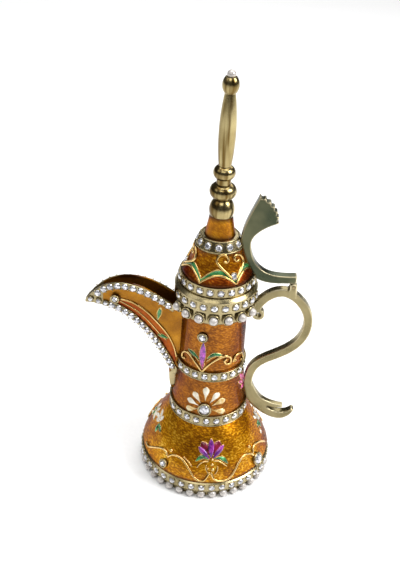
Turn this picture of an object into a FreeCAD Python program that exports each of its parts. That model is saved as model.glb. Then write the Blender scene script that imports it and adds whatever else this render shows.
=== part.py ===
import FreeCAD, Part
import math
import os

import Sketcher
from FreeCAD import Placement, Rotation, Vector

# A dallah coffee pot: an enamelled, jewelled serving pot with a beak spout, a scroll handle
# and a tall lid that swings up on a pin in the top of the handle.
# Millimetres. The pot's axis is Z and its foot stands on z = 0.
# The spout points to -X and the handle to +X. Apart from the large stones, the pot is the same
# on both sides of the XZ plane.

SIZES = {
    # Heights of the pot, stacked from the foot upwards
    "foot_height": 8.5,
    "pearl_groove_height": 3.8,
    "groove_slope_height": 0.7,
    "foot_edge_height": 0.5,
    "belly_height": 23.4,
    "belly_widest_height": 2.2,
    "belly_shoulder_height": 12.0,
    "waist_band_height": 5.0,
    "lower_neck_height": 18.4,
    "mid_band_height": 4.1,
    "upper_neck_height": 26.1,
    "pearl_belt_height": 6.2,
    "crystal_belt_height": 5.0,
    "collar_lip_height": 1.3,
    "collar_chamfer": 0.8,
    # Radii of the pot
    "belly_radius": 29.3,
    "belly_tuck": 0.3,
    "foot_overhang": 0.3,
    "foot_wall": 4.2,
    "pearl_groove_depth": 1.9,
    "belly_shoulder_radius": 24.9,
    "belly_top_radius": 17.0,
    "waist_seat_radius": 16.2,
    "neck_foot_radius": 16.7,
    "neck_middle_radius": 15.2,
    "neck_waist_radius": 14.5,
    "mid_seat_radius": 14.0,
    "neck_radius": 14.3,
    "mouth_radius": 14.0,
    "wall": 1.4,
    "band_thickness": 1.1,
    "pearl_belt_thickness": 2.6,
    "crystal_belt_thickness": 3.4,
    "collar_lip_thickness": 2.2,
    "base_plate_thickness": 1.6,
    "base_plate_lift": 1.0,
    "base_plate_ledge": 1.0,
    # Lid
    "lid_seat_gap": 0.1,
    "lid_rim_height": 4.5,
    "lid_rim_radius": 15.5,
    "lid_rim_thickness": 2.3,
    "plug_clearance": 0.5,
    "plug_depth": 2.6,
    "plug_wall": 1.2,
    "plug_flange_height": 1.5,
    "dome_height": 12.8,
    "dome_foot_radius": 14.9,
    "dome_middle_radius": 11.7,
    "dome_middle_height": 5.6,
    "dome_top_radius": 9.3,
    "dome_wall": 1.2,
    "lid_band_height": 4.0,
    "lid_band_foot_radius": 9.7,
    "lid_band_top_radius": 7.7,
    "taper_height": 8.7,
    "taper_foot_radius": 6.3,
    "taper_middle_radius": 5.4,
    "taper_top_radius": 4.7,
    # Finial, turned as one spindle, heights above its own foot
    "bell_height": 7.0,
    "bell_belly_height": 2.1,
    "bell_radius": 5.1,
    "bell_top_radius": 3.1,
    "lower_ring_height": 6.4,
    "lower_ring_radius": 5.4,
    "ring_gap": 2.0,
    "ring_neck_radius": 2.9,
    "upper_ring_height": 5.4,
    "upper_ring_radius": 4.4,
    "spindle_height": 28.4,
    "spindle_belly_height": 11.4,
    "spindle_foot_radius": 2.5,
    "spindle_radius": 3.35,
    "spindle_top_radius": 2.1,
    "cap_height": 6.2,
    "cap_belly_height": 3.7,
    "cap_radius": 3.2,
    "cap_top_radius": 2.2,
    "stud_radius": 1.5,
    "stud_length": 5.5,
    "stud_head_radius": 3.0,
    "stud_head_height": 1.4,
    "tip_pearl_radius": 1.7,
    "tip_pearl_sink": 0.8,
    # Hinge
    "hinge_reach": 18.0,
    "hinge_drop": 0.6,
    "pin_radius": 0.7,
    "pin_running_clearance": 0.05,
    "pin_overhang": 0.2,
    "knuckle_radius": 1.6,
    "knuckle_width": 2.0,
    "knuckle_side_gap": 0.1,
    "knuckle_root_gap": 0.35,
    "ear_thickness": 1.1,
    # Handle strap and lever plate
    "strap_width": 3.8,
    "strap_tip_width": 1.4,
    "strap_depth": 3.6,
    "leaf_width": 2.6,
    "leaf_depth": 3.0,
    "scroll_radius": 2.7,
    "scroll_eye_radius": 1.1,
    "lever_depth": 4.0,
    "lever_bar_gap": 0.35,
    "lever_bar_width": 3.3,
    "lever_end": 0.9,
    "flute_count": 6,
    "flute_radius": 0.75,
    # Spout
    "spout_root_half_width": 5.0,
    "spout_crest_half_width": 3.0,
    "spout_tip_half_width": 1.3,
    "spout_keel_half_width": 1.6,
    "spout_wall": 0.9,
    "spout_floor": 1.4,
    "spout_overcut": 3.0,
    "pour_hole_radius": 3.0,
    "pour_hole_drop": 9.0,
    # Stones
    "crystal_radius": 1.5,
    "crystal_seat_depth": 0.6,
    "crystal_crown_height": 0.7,
    "crystal_table_radius": 0.9,
    "stone_clearance": 0.03,
    "stone_spacing": 0.4,
    "pearl_radius": 1.75,
    "pearl_sink": 0.5,
    "pearl_lift": 1.9,
    "cup_radius": 2.2,
    "cup_height": 0.9,
    "cup_sink": 0.5,
    "cup_floor": 0.15,
    "large_stone_radius": 1.9,
    "large_cup_wall": 0.6,
    "large_cup_height": 1.2,
    "large_stone_crown": 1.0,
    "large_stone_table_radius": 0.95,
    "flank_clearance": 0.06,
    "spout_crystal_inset": 1.6,
    "rim_crystals_share": 0.97,
    "keel_crystals_share": 0.95,
    "neck_stone_drop": 8.2,
    "daisy_stone_rise": 3.5,
    "belly_stone_rise": 4.1,
    "spout_stone_out": 28.0,
    "spout_stone_up": 1.0,
    "foot_crystal_count": 40,
    "foot_pearl_count": 36,
    "waist_crystal_count": 24,
    "mid_crystal_count": 22,
    "collar_crystal_count": 24,
    "collar_pearl_count": 18,
    "lid_rim_crystal_count": 22,
    "lid_band_crystal_count": 12,
    "spout_rim_crystal_count": 11,
    "spout_keel_crystal_count": 14,
}

# Points that the curved outlines pass through in the side view.
# Each is how far out it lies from the mouth's radius, and how far up from the level that carries it.
POINTS = {
    # Spout's keel, from the waist up to the tip, then its rim from the tip back to the collar
    "keel_foot": (3.0, 3.9),
    "keel_turn": (4.5, 15.6),
    "keel_breast": (12.4, -18.6),
    "keel_throat": (22.0, -8.3),
    "keel_chin": (32.0, -3.8),
    "spout_tip": (41.1, -3.1),
    "rim_tip": (41.1, -1.9),
    "rim_brow": (36.5, 3.7),
    "rim_crest": (27.0, 8.9),
    "rim_back": (13.0, 6.7),
    "rim_root": (4.0, 1.5),
    # Middle line of the handle's strap, from the collar over the top and down to its tail
    "handle_root": (3.6, -0.5),
    "handle_shoulder": (6.4, 4.6),
    "handle_crest": (14.1, 8.6),
    "handle_brow": (21.6, 4.7),
    "handle_back": (26.2, -5.5),
    "handle_heel": (23.0, -16.5),
    "handle_cross": (14.2, 2.2),
    "handle_tuck": (5.6, -0.3),
    "handle_seat": (3.3, 9.6),
    "handle_flare": (5.8, -0.7),
    "handle_sweep": (11.9, -6.7),
    "handle_tail": (19.0, -9.3),
    "handle_tip": (24.9, -5.3),
    # Two leaves that curl off the handle's tail
    "small_leaf_root": (4.4, 7.1),
    "small_leaf_middle": (6.9, 2.2),
    "small_leaf_tip": (11.2, -1.8),
    "large_leaf_root": (6.0, 2.5),
    "large_leaf_middle": (12.5, -2.9),
    "large_leaf_tip": (20.3, -4.2),
    # Thumb lever: its under edge from the hinge to the fan, the fan, then its upper edge back
    "lever_belly": (11.0, 0.7),
    "lever_knee": (4.3, 1.5),
    "lever_calf": (-1.0, 5.4),
    "lever_shin": (-4.1, 12.6),
    "lever_nape": (-5.4, 19.0),
    "lever_head": (-4.3, 26.6),
    "fan_top": (0.6, 39.6),
    "fan_middle": (6.6, 35.5),
    "fan_bottom": (9.0, 28.4),
    "lever_chin": (2.5, 24.7),
    "lever_throat": (-1.0, 20.0),
    "lever_chest": (-0.8, 15.0),
    "lever_lap": (1.9, 9.0),
    "lever_top": (6.4, 5.4),
    "lever_bar": (12.0, 4.3),
}
for point_name, (out, up) in POINTS.items():
    SIZES[point_name + "_out"] = out
    SIZES[point_name + "_up"] = up


class Size:
    """A length with its number and the sheet expression that gives it."""

    def __init__(self, number, text):
        self.number = number
        self.text = text

    def joined(self, other, sign, number):
        return Size(number, "(" + self.text + " " + sign + " " + other.text + ")")

    def __add__(self, other):
        other = as_size(other)
        return self.joined(other, "+", self.number + other.number)

    def __sub__(self, other):
        other = as_size(other)
        return self.joined(other, "-", self.number - other.number)

    def __mul__(self, other):
        other = as_size(other)
        return self.joined(other, "*", self.number * other.number)

    def __truediv__(self, other):
        other = as_size(other)
        return self.joined(other, "/", self.number / other.number)


def as_size(value):
    return value if isinstance(value, Size) else Size(value, repr(value))


class Sizes:
    """Every cell of the sheet as a Size, by its alias."""

    def __init__(self, sheet):
        for row, (alias, number) in enumerate(SIZES.items(), start=1):
            sheet.set("A%d" % row, alias)
            sheet.set("B%d" % row, str(number))
            sheet.setAlias("B%d" % row, alias)
            setattr(self, alias, Size(number, "dims." + alias))


doc = FreeCAD.newDocument("dallah")
size = Sizes(doc.addObject("Spreadsheet::Sheet", "dims"))
doc.recompute()

NOTHING = as_size(0.0)
VIA = "via"

# Levels of the pot and the lid, each stacked on the one below
FOOT_TOP = size.foot_height
BELLY_WIDEST = FOOT_TOP + size.belly_widest_height
BELLY_SHOULDER = FOOT_TOP + size.belly_shoulder_height
WAIST_LOW = FOOT_TOP + size.belly_height
WAIST_JOINT = WAIST_LOW + size.waist_band_height / 2
WAIST_TOP = WAIST_LOW + size.waist_band_height
NECK_MIDDLE = WAIST_TOP + size.lower_neck_height / 2
MID_LOW = WAIST_TOP + size.lower_neck_height
MID_TOP = MID_LOW + size.mid_band_height
COLLAR_LOW = MID_TOP + size.upper_neck_height
PEARL_BELT_TOP = COLLAR_LOW + size.pearl_belt_height
CRYSTAL_BELT_TOP = PEARL_BELT_TOP + size.crystal_belt_height
MOUTH = CRYSTAL_BELT_TOP + size.collar_lip_height
LID_LOW = MOUTH + size.lid_seat_gap
LID_RIM_TOP = LID_LOW + size.lid_rim_height
DOME_MIDDLE = LID_RIM_TOP + size.dome_middle_height
DOME_TOP = LID_RIM_TOP + size.dome_height
LID_BAND_TOP = DOME_TOP + size.lid_band_height
TAPER_MIDDLE = LID_BAND_TOP + size.taper_height / 2
TAPER_TOP = LID_BAND_TOP + size.taper_height
BELL_TOP = TAPER_TOP + size.bell_height
LOWER_RING_TOP = BELL_TOP + size.lower_ring_height
UPPER_RING_LOW = LOWER_RING_TOP + size.ring_gap
UPPER_RING_TOP = UPPER_RING_LOW + size.upper_ring_height
SPINDLE_TOP = UPPER_RING_TOP + size.spindle_height
CAP_TOP = SPINDLE_TOP + size.cap_height

# Radii that seat one piece on another
FOOT_RADIUS = size.belly_radius + size.foot_overhang
FOOT_BORE = FOOT_RADIUS - size.foot_wall
BASE_PLATE_RADIUS = FOOT_BORE + size.base_plate_ledge
PEARL_GROOVE_RADIUS = FOOT_RADIUS - size.pearl_groove_depth
BELLY_FOOT_RADIUS = size.belly_radius - size.belly_tuck
WAIST_RADIUS = size.waist_seat_radius + size.band_thickness
MID_RADIUS = size.mid_seat_radius + size.band_thickness
PEARL_BELT_RADIUS = size.mouth_radius + size.pearl_belt_thickness
CRYSTAL_BELT_RADIUS = size.mouth_radius + size.crystal_belt_thickness
COLLAR_LIP_RADIUS = size.mouth_radius + size.collar_lip_thickness
MOUTH_BORE = size.mouth_radius - size.wall
LID_BORE = size.lid_rim_radius - size.lid_rim_thickness
PLUG_RADIUS = MOUTH_BORE - size.plug_clearance
HINGE_X = size.mouth_radius + size.hinge_reach
HINGE_Z = MOUTH - size.hinge_drop

BELLY_OUTSIDE = [
    (BELLY_FOOT_RADIUS, FOOT_TOP),
    (size.belly_radius, BELLY_WIDEST),
    (size.belly_shoulder_radius, BELLY_SHOULDER, VIA),
    (size.belly_top_radius, WAIST_LOW),
]
LOWER_NECK_OUTSIDE = [
    (size.neck_foot_radius, WAIST_TOP),
    (size.neck_middle_radius, NECK_MIDDLE, VIA),
    (size.neck_waist_radius, MID_LOW),
]
COLLAR_OUTSIDE = [
    (PEARL_BELT_RADIUS - size.collar_chamfer, COLLAR_LOW),
    (PEARL_BELT_RADIUS, COLLAR_LOW + size.collar_chamfer),
    (PEARL_BELT_RADIUS, PEARL_BELT_TOP),
    (CRYSTAL_BELT_RADIUS, PEARL_BELT_TOP),
    (CRYSTAL_BELT_RADIUS, CRYSTAL_BELT_TOP),
    (COLLAR_LIP_RADIUS, MOUTH),
]
DOME_OUTSIDE = [
    (size.dome_foot_radius, LID_RIM_TOP),
    (size.dome_middle_radius, DOME_MIDDLE, VIA),
    (size.dome_top_radius, DOME_TOP),
]


def bind(thing, name, value):
    """Set a property of a document object and tie it to the sheet."""
    value = as_size(value)
    setattr(thing, name, value.number)
    thing.setExpression(name, value.text)


def place_point(sketch, point, corner, name):
    """Fix a sketch point at its (across, up) place with constraints tied to the sheet."""
    geometry, end = point
    for kind, axis, value in (("DistanceX", -2, corner[0]), ("DistanceY", -1, corner[1])):
        if value.number == 0:
            sketch.addConstraint(Sketcher.Constraint("PointOnObject", geometry, end, axis))
            continue
        index = sketch.addConstraint(Sketcher.Constraint(kind, -1, 1, geometry, end, value.number))
        sketch.renameConstraint(index, name + kind)
        sketch.setExpression("Constraints." + name + kind, value.text)


def flat(corner):
    return Vector(corner[0].number, corner[1].number, 0)


def arc_through(start, middle, end):
    """An arc for a sketch, counter-clockwise, and which of its ends is the start."""
    curve = Part.Arc(start, middle, end).toShape().Curve
    centre = curve.Center
    angles = [math.atan2(p.y - centre.y, p.x - centre.x) for p in (start, end)]
    turns_left = (middle - start).cross(end - middle).z > 0
    first, last = angles if turns_left else reversed(angles)
    circle = Part.Circle(centre, Vector(0, 0, 1), curve.Radius)
    return Part.ArcOfCircle(circle, first, last), (1, 2) if turns_left else (2, 1)


def draw_outline(sketch, outline):
    """Draw a closed outline of corners in a sketch; a corner marked VIA is a point on an arc."""
    corners = [index for index, corner in enumerate(outline) if VIA not in corner]
    ends = []
    for place, index in enumerate(corners):
        following = corners[(place + 1) % len(corners)]
        start, end = outline[index], outline[following]
        if (index + 1) % len(outline) == following:
            edge = sketch.addGeometry(Part.LineSegment(flat(start), flat(end)))
            order = (1, 2)
        else:
            middle = outline[index + 1]
            arc, order = arc_through(flat(start), flat(middle), flat(end))
            edge = sketch.addGeometry(arc)
            mark = sketch.addGeometry(Part.Point(flat(middle)), True)
            sketch.addConstraint(Sketcher.Constraint("PointOnObject", mark, 1, edge))
            place_point(sketch, (mark, 1), middle, "via%d" % place)
        ends.append(((edge, order[0]), (edge, order[1])))
    for place, (start, end) in enumerate(ends):
        following = ends[(place + 1) % len(ends)][0]
        sketch.addConstraint(Sketcher.Constraint("Coincident", *end, *following))
        place_point(sketch, start, outline[corners[place]], "corner%d" % place)


def turned(label, outline):
    """A body turned about the pot's axis from an outline of (radius, height) corners."""
    body = doc.addObject("PartDesign::Body", label)
    sketch = body.newObject("Sketcher::SketchObject", label + "_outline")
    plane = [feature for feature in body.Origin.OriginFeatures if feature.Role == "XZ_Plane"]
    sketch.AttachmentSupport = (plane[0], [""])
    sketch.MapMode = "FlatFace"
    draw_outline(sketch, outline)
    turn = body.newObject("PartDesign::Revolution", label + "_turn")
    turn.Profile = sketch
    turn.ReferenceAxis = (sketch, ["V_Axis"])
    turn.Angle = 360.0
    return body


def held_shape(label, shape):
    """A document object for a shape worked out in code."""
    thing = doc.addObject("Part::Feature", label)
    thing.Shape = shape
    thing.Placement = Placement()
    return thing


def cut(label, base, tool):
    thing = doc.addObject("Part::Cut", label)
    thing.Base = base
    thing.Tool = tool
    return thing


def fused(label, pieces):
    thing = doc.addObject("Part::MultiFuse", label)
    thing.Shapes = pieces
    return thing


def common(label, first, second):
    thing = doc.addObject("Part::MultiCommon", label)
    thing.Shapes = [first, second]
    return thing


def cylinder_across(label, x, z, radius, width):
    """A cylinder along Y, centred on the XZ plane."""
    thing = doc.addObject("Part::Cylinder", label)
    bind(thing, "Radius", radius)
    bind(thing, "Height", width)
    thing.Placement = Placement(Vector(x.number, width.number / 2, z.number), Rotation(Vector(1, 0, 0), 90))
    thing.setExpression("Placement.Base.x", x.text)
    thing.setExpression("Placement.Base.y", (width / 2).text)
    thing.setExpression("Placement.Base.z", z.text)
    return thing


def block(label, low, high):
    """A box between two corners."""
    thing = doc.addObject("Part::Box", label)
    for name, axis in (("Length", 0), ("Width", 1), ("Height", 2)):
        bind(thing, name, high[axis] - low[axis])
    for axis, name in enumerate("xyz"):
        thing.setExpression("Placement.Base." + name, low[axis].text)
    return thing


def plate(label, face, depth):
    """A flat outline in the XZ plane, thickened evenly to both sides."""
    thing = doc.addObject("Part::Extrusion", label)
    thing.Base = held_shape(label + "_outline", face)
    thing.DirMode = "Custom"
    thing.Dir = Vector(0, 1, 0)
    thing.Solid = True
    thing.Symmetric = True
    bind(thing, "LengthFwd", depth)
    return thing


def curve_edge(points):
    """A smooth edge through points."""
    curve = Part.BSplineCurve()
    curve.interpolate(points)
    return curve.toShape()


def side_point(x, z):
    """A point of the XZ plane from sizes or numbers."""
    return Vector(as_size(x).number, 0, as_size(z).number)


def line_edge(start, end):
    return Part.LineSegment(start, end).toShape()


def loop_face(edges):
    return Part.Face(Part.Wire(edges))


# Stones


def crystal_solid():
    """A cut stone about the X axis: a straight girdle that sits in its seat, then a crown."""
    girdle = size.crystal_seat_depth.number
    top = girdle + size.crystal_crown_height.number
    radius = size.crystal_radius.number
    outline = [
        Vector(0, 0, 0),
        Vector(0, radius, 0),
        Vector(girdle, radius, 0),
        Vector(top, size.crystal_table_radius.number, 0),
        Vector(top, 0, 0),
        Vector(0, 0, 0),
    ]
    return Part.Face(Part.makePolygon(outline)).revolve(Vector(), Vector(1, 0, 0), 360)


def seat_solid(radius, length):
    """A round seat about the X axis, from its floor outwards."""
    return Part.makeCylinder(radius + size.stone_clearance.number, length, Vector(), Vector(1, 0, 0))


def radial(angle, radius, height, tilt=0.0):
    """Where a stone sits on a band: its X axis points out of the band, lifted by the tilt."""
    turn = Rotation(Vector(0, 0, 1), angle).multiply(Rotation(Vector(0, 1, 0), -tilt))
    lean = math.radians(angle)
    return Placement(Vector(radius * math.cos(lean), radius * math.sin(lean), height), turn)


def ring_places(count, radius, height, tilt=0.0, first=0.0, keep_clear=()):
    """Evenly spaced places round the axis, without those that fall on what stands on the band."""
    places = []
    for index in range(count):
        angle = first + 360.0 * index / count
        blocked = False
        for centre, half_width in keep_clear:
            turn = (angle - centre + 180.0) % 360.0 - 180.0
            distance = radius * abs(math.sin(math.radians(turn)))
            if abs(turn) < 90 and distance < half_width:
                blocked = True
        if not blocked:
            places.append(radial(angle, radius, height, tilt))
    return places


def copies(solid, places):
    """One solid set at each place, as separate solids of one group."""
    group = []
    for place in places:
        copy = solid.copy()
        copy.Placement = place
        group.append(copy)
    return Part.makeCompound(group)


def crystals_in(band, label, places):
    """Seat a group of crystals in a band, and give the stones and the band with its seats."""
    deep = size.crystal_seat_depth.number + size.crystal_crown_height.number
    stones = held_shape(label, copies(crystal_solid(), places))
    seats = held_shape(label + "_seats", copies(seat_solid(size.crystal_radius.number, deep), places))
    return stones, cut(band.Label + "_seated", band, seats)


def count_of(value):
    return int(round(value.number))


parts = {}


def keep(name, thing):
    """Make a document object a sub-part under its own name."""
    thing.Label = name
    parts[name] = thing


CLEAR_OF_STONE = size.crystal_radius.number + size.stone_spacing.number
HANDLE_SIDE = (0.0, size.strap_depth.number / 2 + CLEAR_OF_STONE)
SPOUT_SIDE = (180.0, size.spout_root_half_width.number + CLEAR_OF_STONE)
LEVER_SIDE = (0.0, size.lever_depth.number / 2 + CLEAR_OF_STONE)
SEAT_DEPTH = size.crystal_seat_depth.number


# Foot: a ring with a row of crystals over a row of pearls, and a plate that closes the pot

foot_ring = turned("foot_ring", [
    (FOOT_BORE, NOTHING),
    (PEARL_GROOVE_RADIUS, NOTHING),
    (PEARL_GROOVE_RADIUS, size.pearl_groove_height - size.groove_slope_height / 2),
    (FOOT_RADIUS, size.pearl_groove_height + size.groove_slope_height / 2),
    (FOOT_RADIUS, FOOT_TOP - size.foot_edge_height),
    (BELLY_FOOT_RADIUS, FOOT_TOP),
    (FOOT_BORE, FOOT_TOP),
    (FOOT_BORE, size.base_plate_lift + size.base_plate_thickness),
    (BASE_PLATE_RADIUS, size.base_plate_lift + size.base_plate_thickness),
    (BASE_PLATE_RADIUS, size.base_plate_lift),
    (FOOT_BORE, size.base_plate_lift),
])
foot_band_middle = (size.pearl_groove_height.number + FOOT_TOP.number) / 2
foot_places = ring_places(
    count_of(size.foot_crystal_count), FOOT_RADIUS.number - SEAT_DEPTH, foot_band_middle)
foot_crystals, foot_ring = crystals_in(foot_ring, "foot_crystals", foot_places)
pearl_orbit = PEARL_GROOVE_RADIUS.number + size.pearl_radius.number - size.pearl_sink.number
pearl_places = ring_places(count_of(size.foot_pearl_count), pearl_orbit, size.pearl_lift.number)
foot_pearls = held_shape("foot_pearls", copies(Part.makeSphere(size.pearl_radius.number), pearl_places))
keep("foot_band", cut("foot_band", foot_ring, foot_pearls))
keep("foot_crystals", foot_crystals)
keep("foot_pearls", foot_pearls)
keep("base_plate", turned("base_plate", [
    (NOTHING, size.base_plate_lift),
    (BASE_PLATE_RADIUS, size.base_plate_lift),
    (BASE_PLATE_RADIUS, size.base_plate_lift + size.base_plate_thickness),
    (NOTHING, size.base_plate_lift + size.base_plate_thickness),
]))

# Belly and neck: two hollow shells butted inside the waist band

belly_turned = turned("belly_turned", BELLY_OUTSIDE + [
    (size.waist_seat_radius, WAIST_LOW),
    (size.waist_seat_radius, WAIST_JOINT),
    (size.waist_seat_radius - size.wall, WAIST_JOINT),
    (size.waist_seat_radius - size.wall, WAIST_LOW - size.wall),
    (size.belly_shoulder_radius - size.wall, BELLY_SHOULDER - size.wall, VIA),
    (size.belly_radius - size.wall, BELLY_WIDEST),
    (BELLY_FOOT_RADIUS - size.wall, FOOT_TOP),
])
neck_tube = turned("neck_tube", [
    (size.waist_seat_radius, WAIST_JOINT),
    (size.waist_seat_radius, WAIST_TOP),
] + LOWER_NECK_OUTSIDE + [
    (size.mid_seat_radius, MID_LOW),
    (size.mid_seat_radius, MID_TOP),
    (size.neck_radius, MID_TOP),
    (size.mouth_radius, COLLAR_LOW),
    (size.mouth_radius, MOUTH),
    (MOUTH_BORE, MOUTH),
    (MOUTH_BORE, MID_LOW),
    (size.waist_seat_radius - size.wall, WAIST_JOINT),
])

# Bands of crystals round the waist and the neck

waist_band = turned("waist_ring", [
    (size.waist_seat_radius, WAIST_LOW),
    (WAIST_RADIUS, WAIST_LOW),
    (WAIST_RADIUS, WAIST_TOP),
    (size.waist_seat_radius, WAIST_TOP),
])
waist_places = ring_places(
    count_of(size.waist_crystal_count), WAIST_RADIUS.number - SEAT_DEPTH, WAIST_JOINT.number,
    keep_clear=(HANDLE_SIDE, SPOUT_SIDE))
waist_crystals, waist_band = crystals_in(waist_band, "waist_crystals", waist_places)
keep("waist_band", waist_band)
keep("waist_crystals", waist_crystals)

mid_band = turned("mid_ring", [
    (size.mid_seat_radius, MID_LOW),
    (MID_RADIUS, MID_LOW),
    (MID_RADIUS, MID_TOP),
    (size.mid_seat_radius, MID_TOP),
])
mid_height = (MID_LOW.number + MID_TOP.number) / 2
mid_places = ring_places(
    count_of(size.mid_crystal_count), MID_RADIUS.number - SEAT_DEPTH, mid_height,
    keep_clear=(HANDLE_SIDE, SPOUT_SIDE))
mid_crystals, mid_band = crystals_in(mid_band, "mid_crystals", mid_places)
keep("mid_band", mid_band)
keep("mid_crystals", mid_crystals)

# Collar: a ring round the mouth with a crystal belt over a belt of pearls in cups

collar = turned("collar_ring", [(size.mouth_radius, COLLAR_LOW)] + COLLAR_OUTSIDE + [
    (size.mouth_radius, MOUTH),
])
collar_places = ring_places(
    count_of(size.collar_crystal_count), CRYSTAL_BELT_RADIUS.number - SEAT_DEPTH,
    (PEARL_BELT_TOP.number + CRYSTAL_BELT_TOP.number) / 2, keep_clear=(HANDLE_SIDE, SPOUT_SIDE))
collar_crystals, collar = crystals_in(collar, "collar_crystals", collar_places)
keep("collar_crystals", collar_crystals)

# A row of pearls in cups round the collar's lower belt


def pearl_ball(clearance=0.0):
    """A pearl resting on its cup's floor, or the hollow that clears it."""
    rise = size.cup_floor.number + size.stone_clearance.number + size.pearl_radius.number
    return Part.makeSphere(size.pearl_radius.number + clearance, Vector(rise, 0, 0))


def pearl_cup():
    """A cup about the X axis, hollowed for the pearl that it holds."""
    length = size.cup_sink.number + size.cup_height.number
    cup = Part.makeCylinder(size.cup_radius.number, length, Vector(), Vector(1, 0, 0))
    return cup.cut(pearl_ball(size.stone_clearance.number))


cup_half_pitch = 180.0 / count_of(size.collar_pearl_count)
cup_places = ring_places(
    count_of(size.collar_pearl_count), PEARL_BELT_RADIUS.number - size.cup_sink.number,
    (COLLAR_LOW.number + PEARL_BELT_TOP.number) / 2, first=cup_half_pitch,
    keep_clear=(HANDLE_SIDE, SPOUT_SIDE))
collar_cups = held_shape("collar_pearl_cups", copies(pearl_cup(), cup_places))
cup_seats = held_shape("collar_cup_seats", copies(
    seat_solid(size.cup_radius.number, size.cup_height.number + size.cup_sink.number), cup_places))
keep("collar", cut("collar_with_cups", collar, cup_seats))
keep("collar_pearl_cups", collar_cups)
keep("collar_pearls", held_shape("collar_pearls", copies(pearl_ball(), cup_places)))

# What the spout and the handle are trimmed to: the pot's outside as one solid

pot_envelope = turned("pot_envelope", [(NOTHING, NOTHING), (BELLY_FOOT_RADIUS, NOTHING)]
    + BELLY_OUTSIDE + [
        (WAIST_RADIUS, WAIST_LOW),
        (WAIST_RADIUS, WAIST_TOP),
    ] + LOWER_NECK_OUTSIDE + [
        (MID_RADIUS, MID_LOW),
        (MID_RADIUS, MID_TOP),
        (size.neck_radius, MID_TOP),
        (size.mouth_radius, COLLAR_LOW),
    ] + COLLAR_OUTSIDE + [(NOTHING, MOUTH)])

# Spout: a beak-shaped trough, open along its top, whose keel runs down the neck to the waist


def curve_point(name, level, side=1.0):
    """A named point of the side view; side is -1 towards the spout."""
    out = size.mouth_radius + getattr(size, name + "_out")
    return Vector(side * out.number, 0, (level + getattr(size, name + "_up")).number)


def right_of(points, distance):
    """Points moved to the right of the way they run, by a distance."""
    moved = []
    for index, point in enumerate(points):
        ahead = points[min(index + 1, len(points) - 1)]
        behind = points[max(index - 1, 0)]
        way = (ahead - behind).normalize()
        moved.append(point + Vector(way.z, 0, -way.x) * distance)
    return moved


SPOUT = -1.0
spout_root_x = -size.mouth_radius.number / 2
keel = [Vector(spout_root_x, 0, WAIST_TOP.number)]
for name, level in (("keel_foot", WAIST_TOP), ("keel_turn", WAIST_TOP), ("keel_breast", COLLAR_LOW),
                    ("keel_throat", COLLAR_LOW), ("keel_chin", COLLAR_LOW), ("spout_tip", COLLAR_LOW)):
    keel.append(curve_point(name, level, SPOUT))
rim = []
for name in ("rim_tip", "rim_brow", "rim_crest", "rim_back", "rim_root"):
    rim.append(curve_point(name, COLLAR_LOW, SPOUT))
rim.append(Vector(spout_root_x, 0, COLLAR_LOW.number))
spout_low = WAIST_LOW.number
spout_high = MOUTH.number


def spout_plan(height, half_widths, grow, lengthen):
    """The spout's outline seen from above at a height, one smooth side for each hand."""
    stations = [spout_root_x + lengthen, rim[3].x, rim[2].x, rim[0].x - lengthen]
    near = [Vector(x, -half - grow, height) for x, half in zip(stations, half_widths)]
    far = [Vector(x, half + grow, height) for x, half in zip(stations, half_widths)]
    far.reverse()
    return Part.Wire([
        curve_edge(near),
        line_edge(near[-1], far[0]),
        curve_edge(far),
        line_edge(far[-1], near[0]),
    ])


def spout_body(label, grow, lengthen, side_face):
    """The spout's side view and its two plans crossed to one solid."""
    root, crest = size.spout_root_half_width.number, size.spout_crest_half_width.number
    tip, bottom = size.spout_tip_half_width.number, size.spout_keel_half_width.number
    low = spout_plan(spout_low, [bottom, bottom, bottom, tip], grow, lengthen)
    high = spout_plan(spout_high, [root, root, crest, tip], grow, lengthen)
    sides = held_shape(label + "_sides", Part.makeLoft([low, high], True, True))
    return common(label, plate(label + "_profile", side_face, size.spout_root_half_width * 4), sides)


blank = spout_body("spout_blank", 0.0, 0.0, loop_face([
    curve_edge(keel),
    line_edge(keel[-1], rim[0]),
    curve_edge(rim),
    line_edge(rim[-1], keel[0]),
]))
overcut = size.spout_overcut.number
trough = right_of(keel, size.spout_floor.number)
trough.append(trough[-1] + Vector(-overcut, 0, 0))
trough_top = [Vector(trough[-1].x, 0, spout_high + overcut), Vector(trough[0].x, 0, spout_high + overcut)]
hollow = spout_body("spout_hollow", -size.spout_wall.number, overcut, loop_face([
    curve_edge(trough),
    line_edge(trough[-1], trough_top[0]),
    line_edge(trough_top[0], trough_top[1]),
    line_edge(trough_top[1], trough[0]),
]))
spout = cut("spout_trough", cut("spout_trimmed", blank, pot_envelope), hollow)
doc.recompute()


def along(points, count, last):
    """Evenly spaced points of a smooth curve, from its start to a share of its length."""
    edge = curve_edge(points)
    spots = []
    for index in range(count):
        share = last * index / (count - 1)
        spots.append(edge.valueAt(edge.getParameterByLength(edge.Length * share)))
    return spots


def spout_half_width(spot):
    """Half of the spout's width across a spot of its side view."""
    across = Vector(0, size.spout_root_half_width.number * 2, 0)
    return blank.Shape.common(line_edge(spot - across, spot + across)).BoundBox.YMax


def on_spout_sides(spots):
    """A place on both flanks of the spout beside each spot of its side view, square to the flank."""
    step = size.crystal_radius.number / 2
    places = []
    for spot in spots:
        half = spout_half_width(spot)
        slope_x = (spout_half_width(spot + Vector(step, 0, 0)) - half) / step
        slope_z = (spout_half_width(spot + Vector(0, 0, step)) - half) / step
        for hand in (1, -1):
            normal = Vector(-slope_x, hand, -slope_z)
            seat = spot + Vector(0, hand * (half + size.flank_clearance.number), 0)
            places.append(Placement(seat, Rotation(Vector(1, 0, 0), normal)))
    return places


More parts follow.
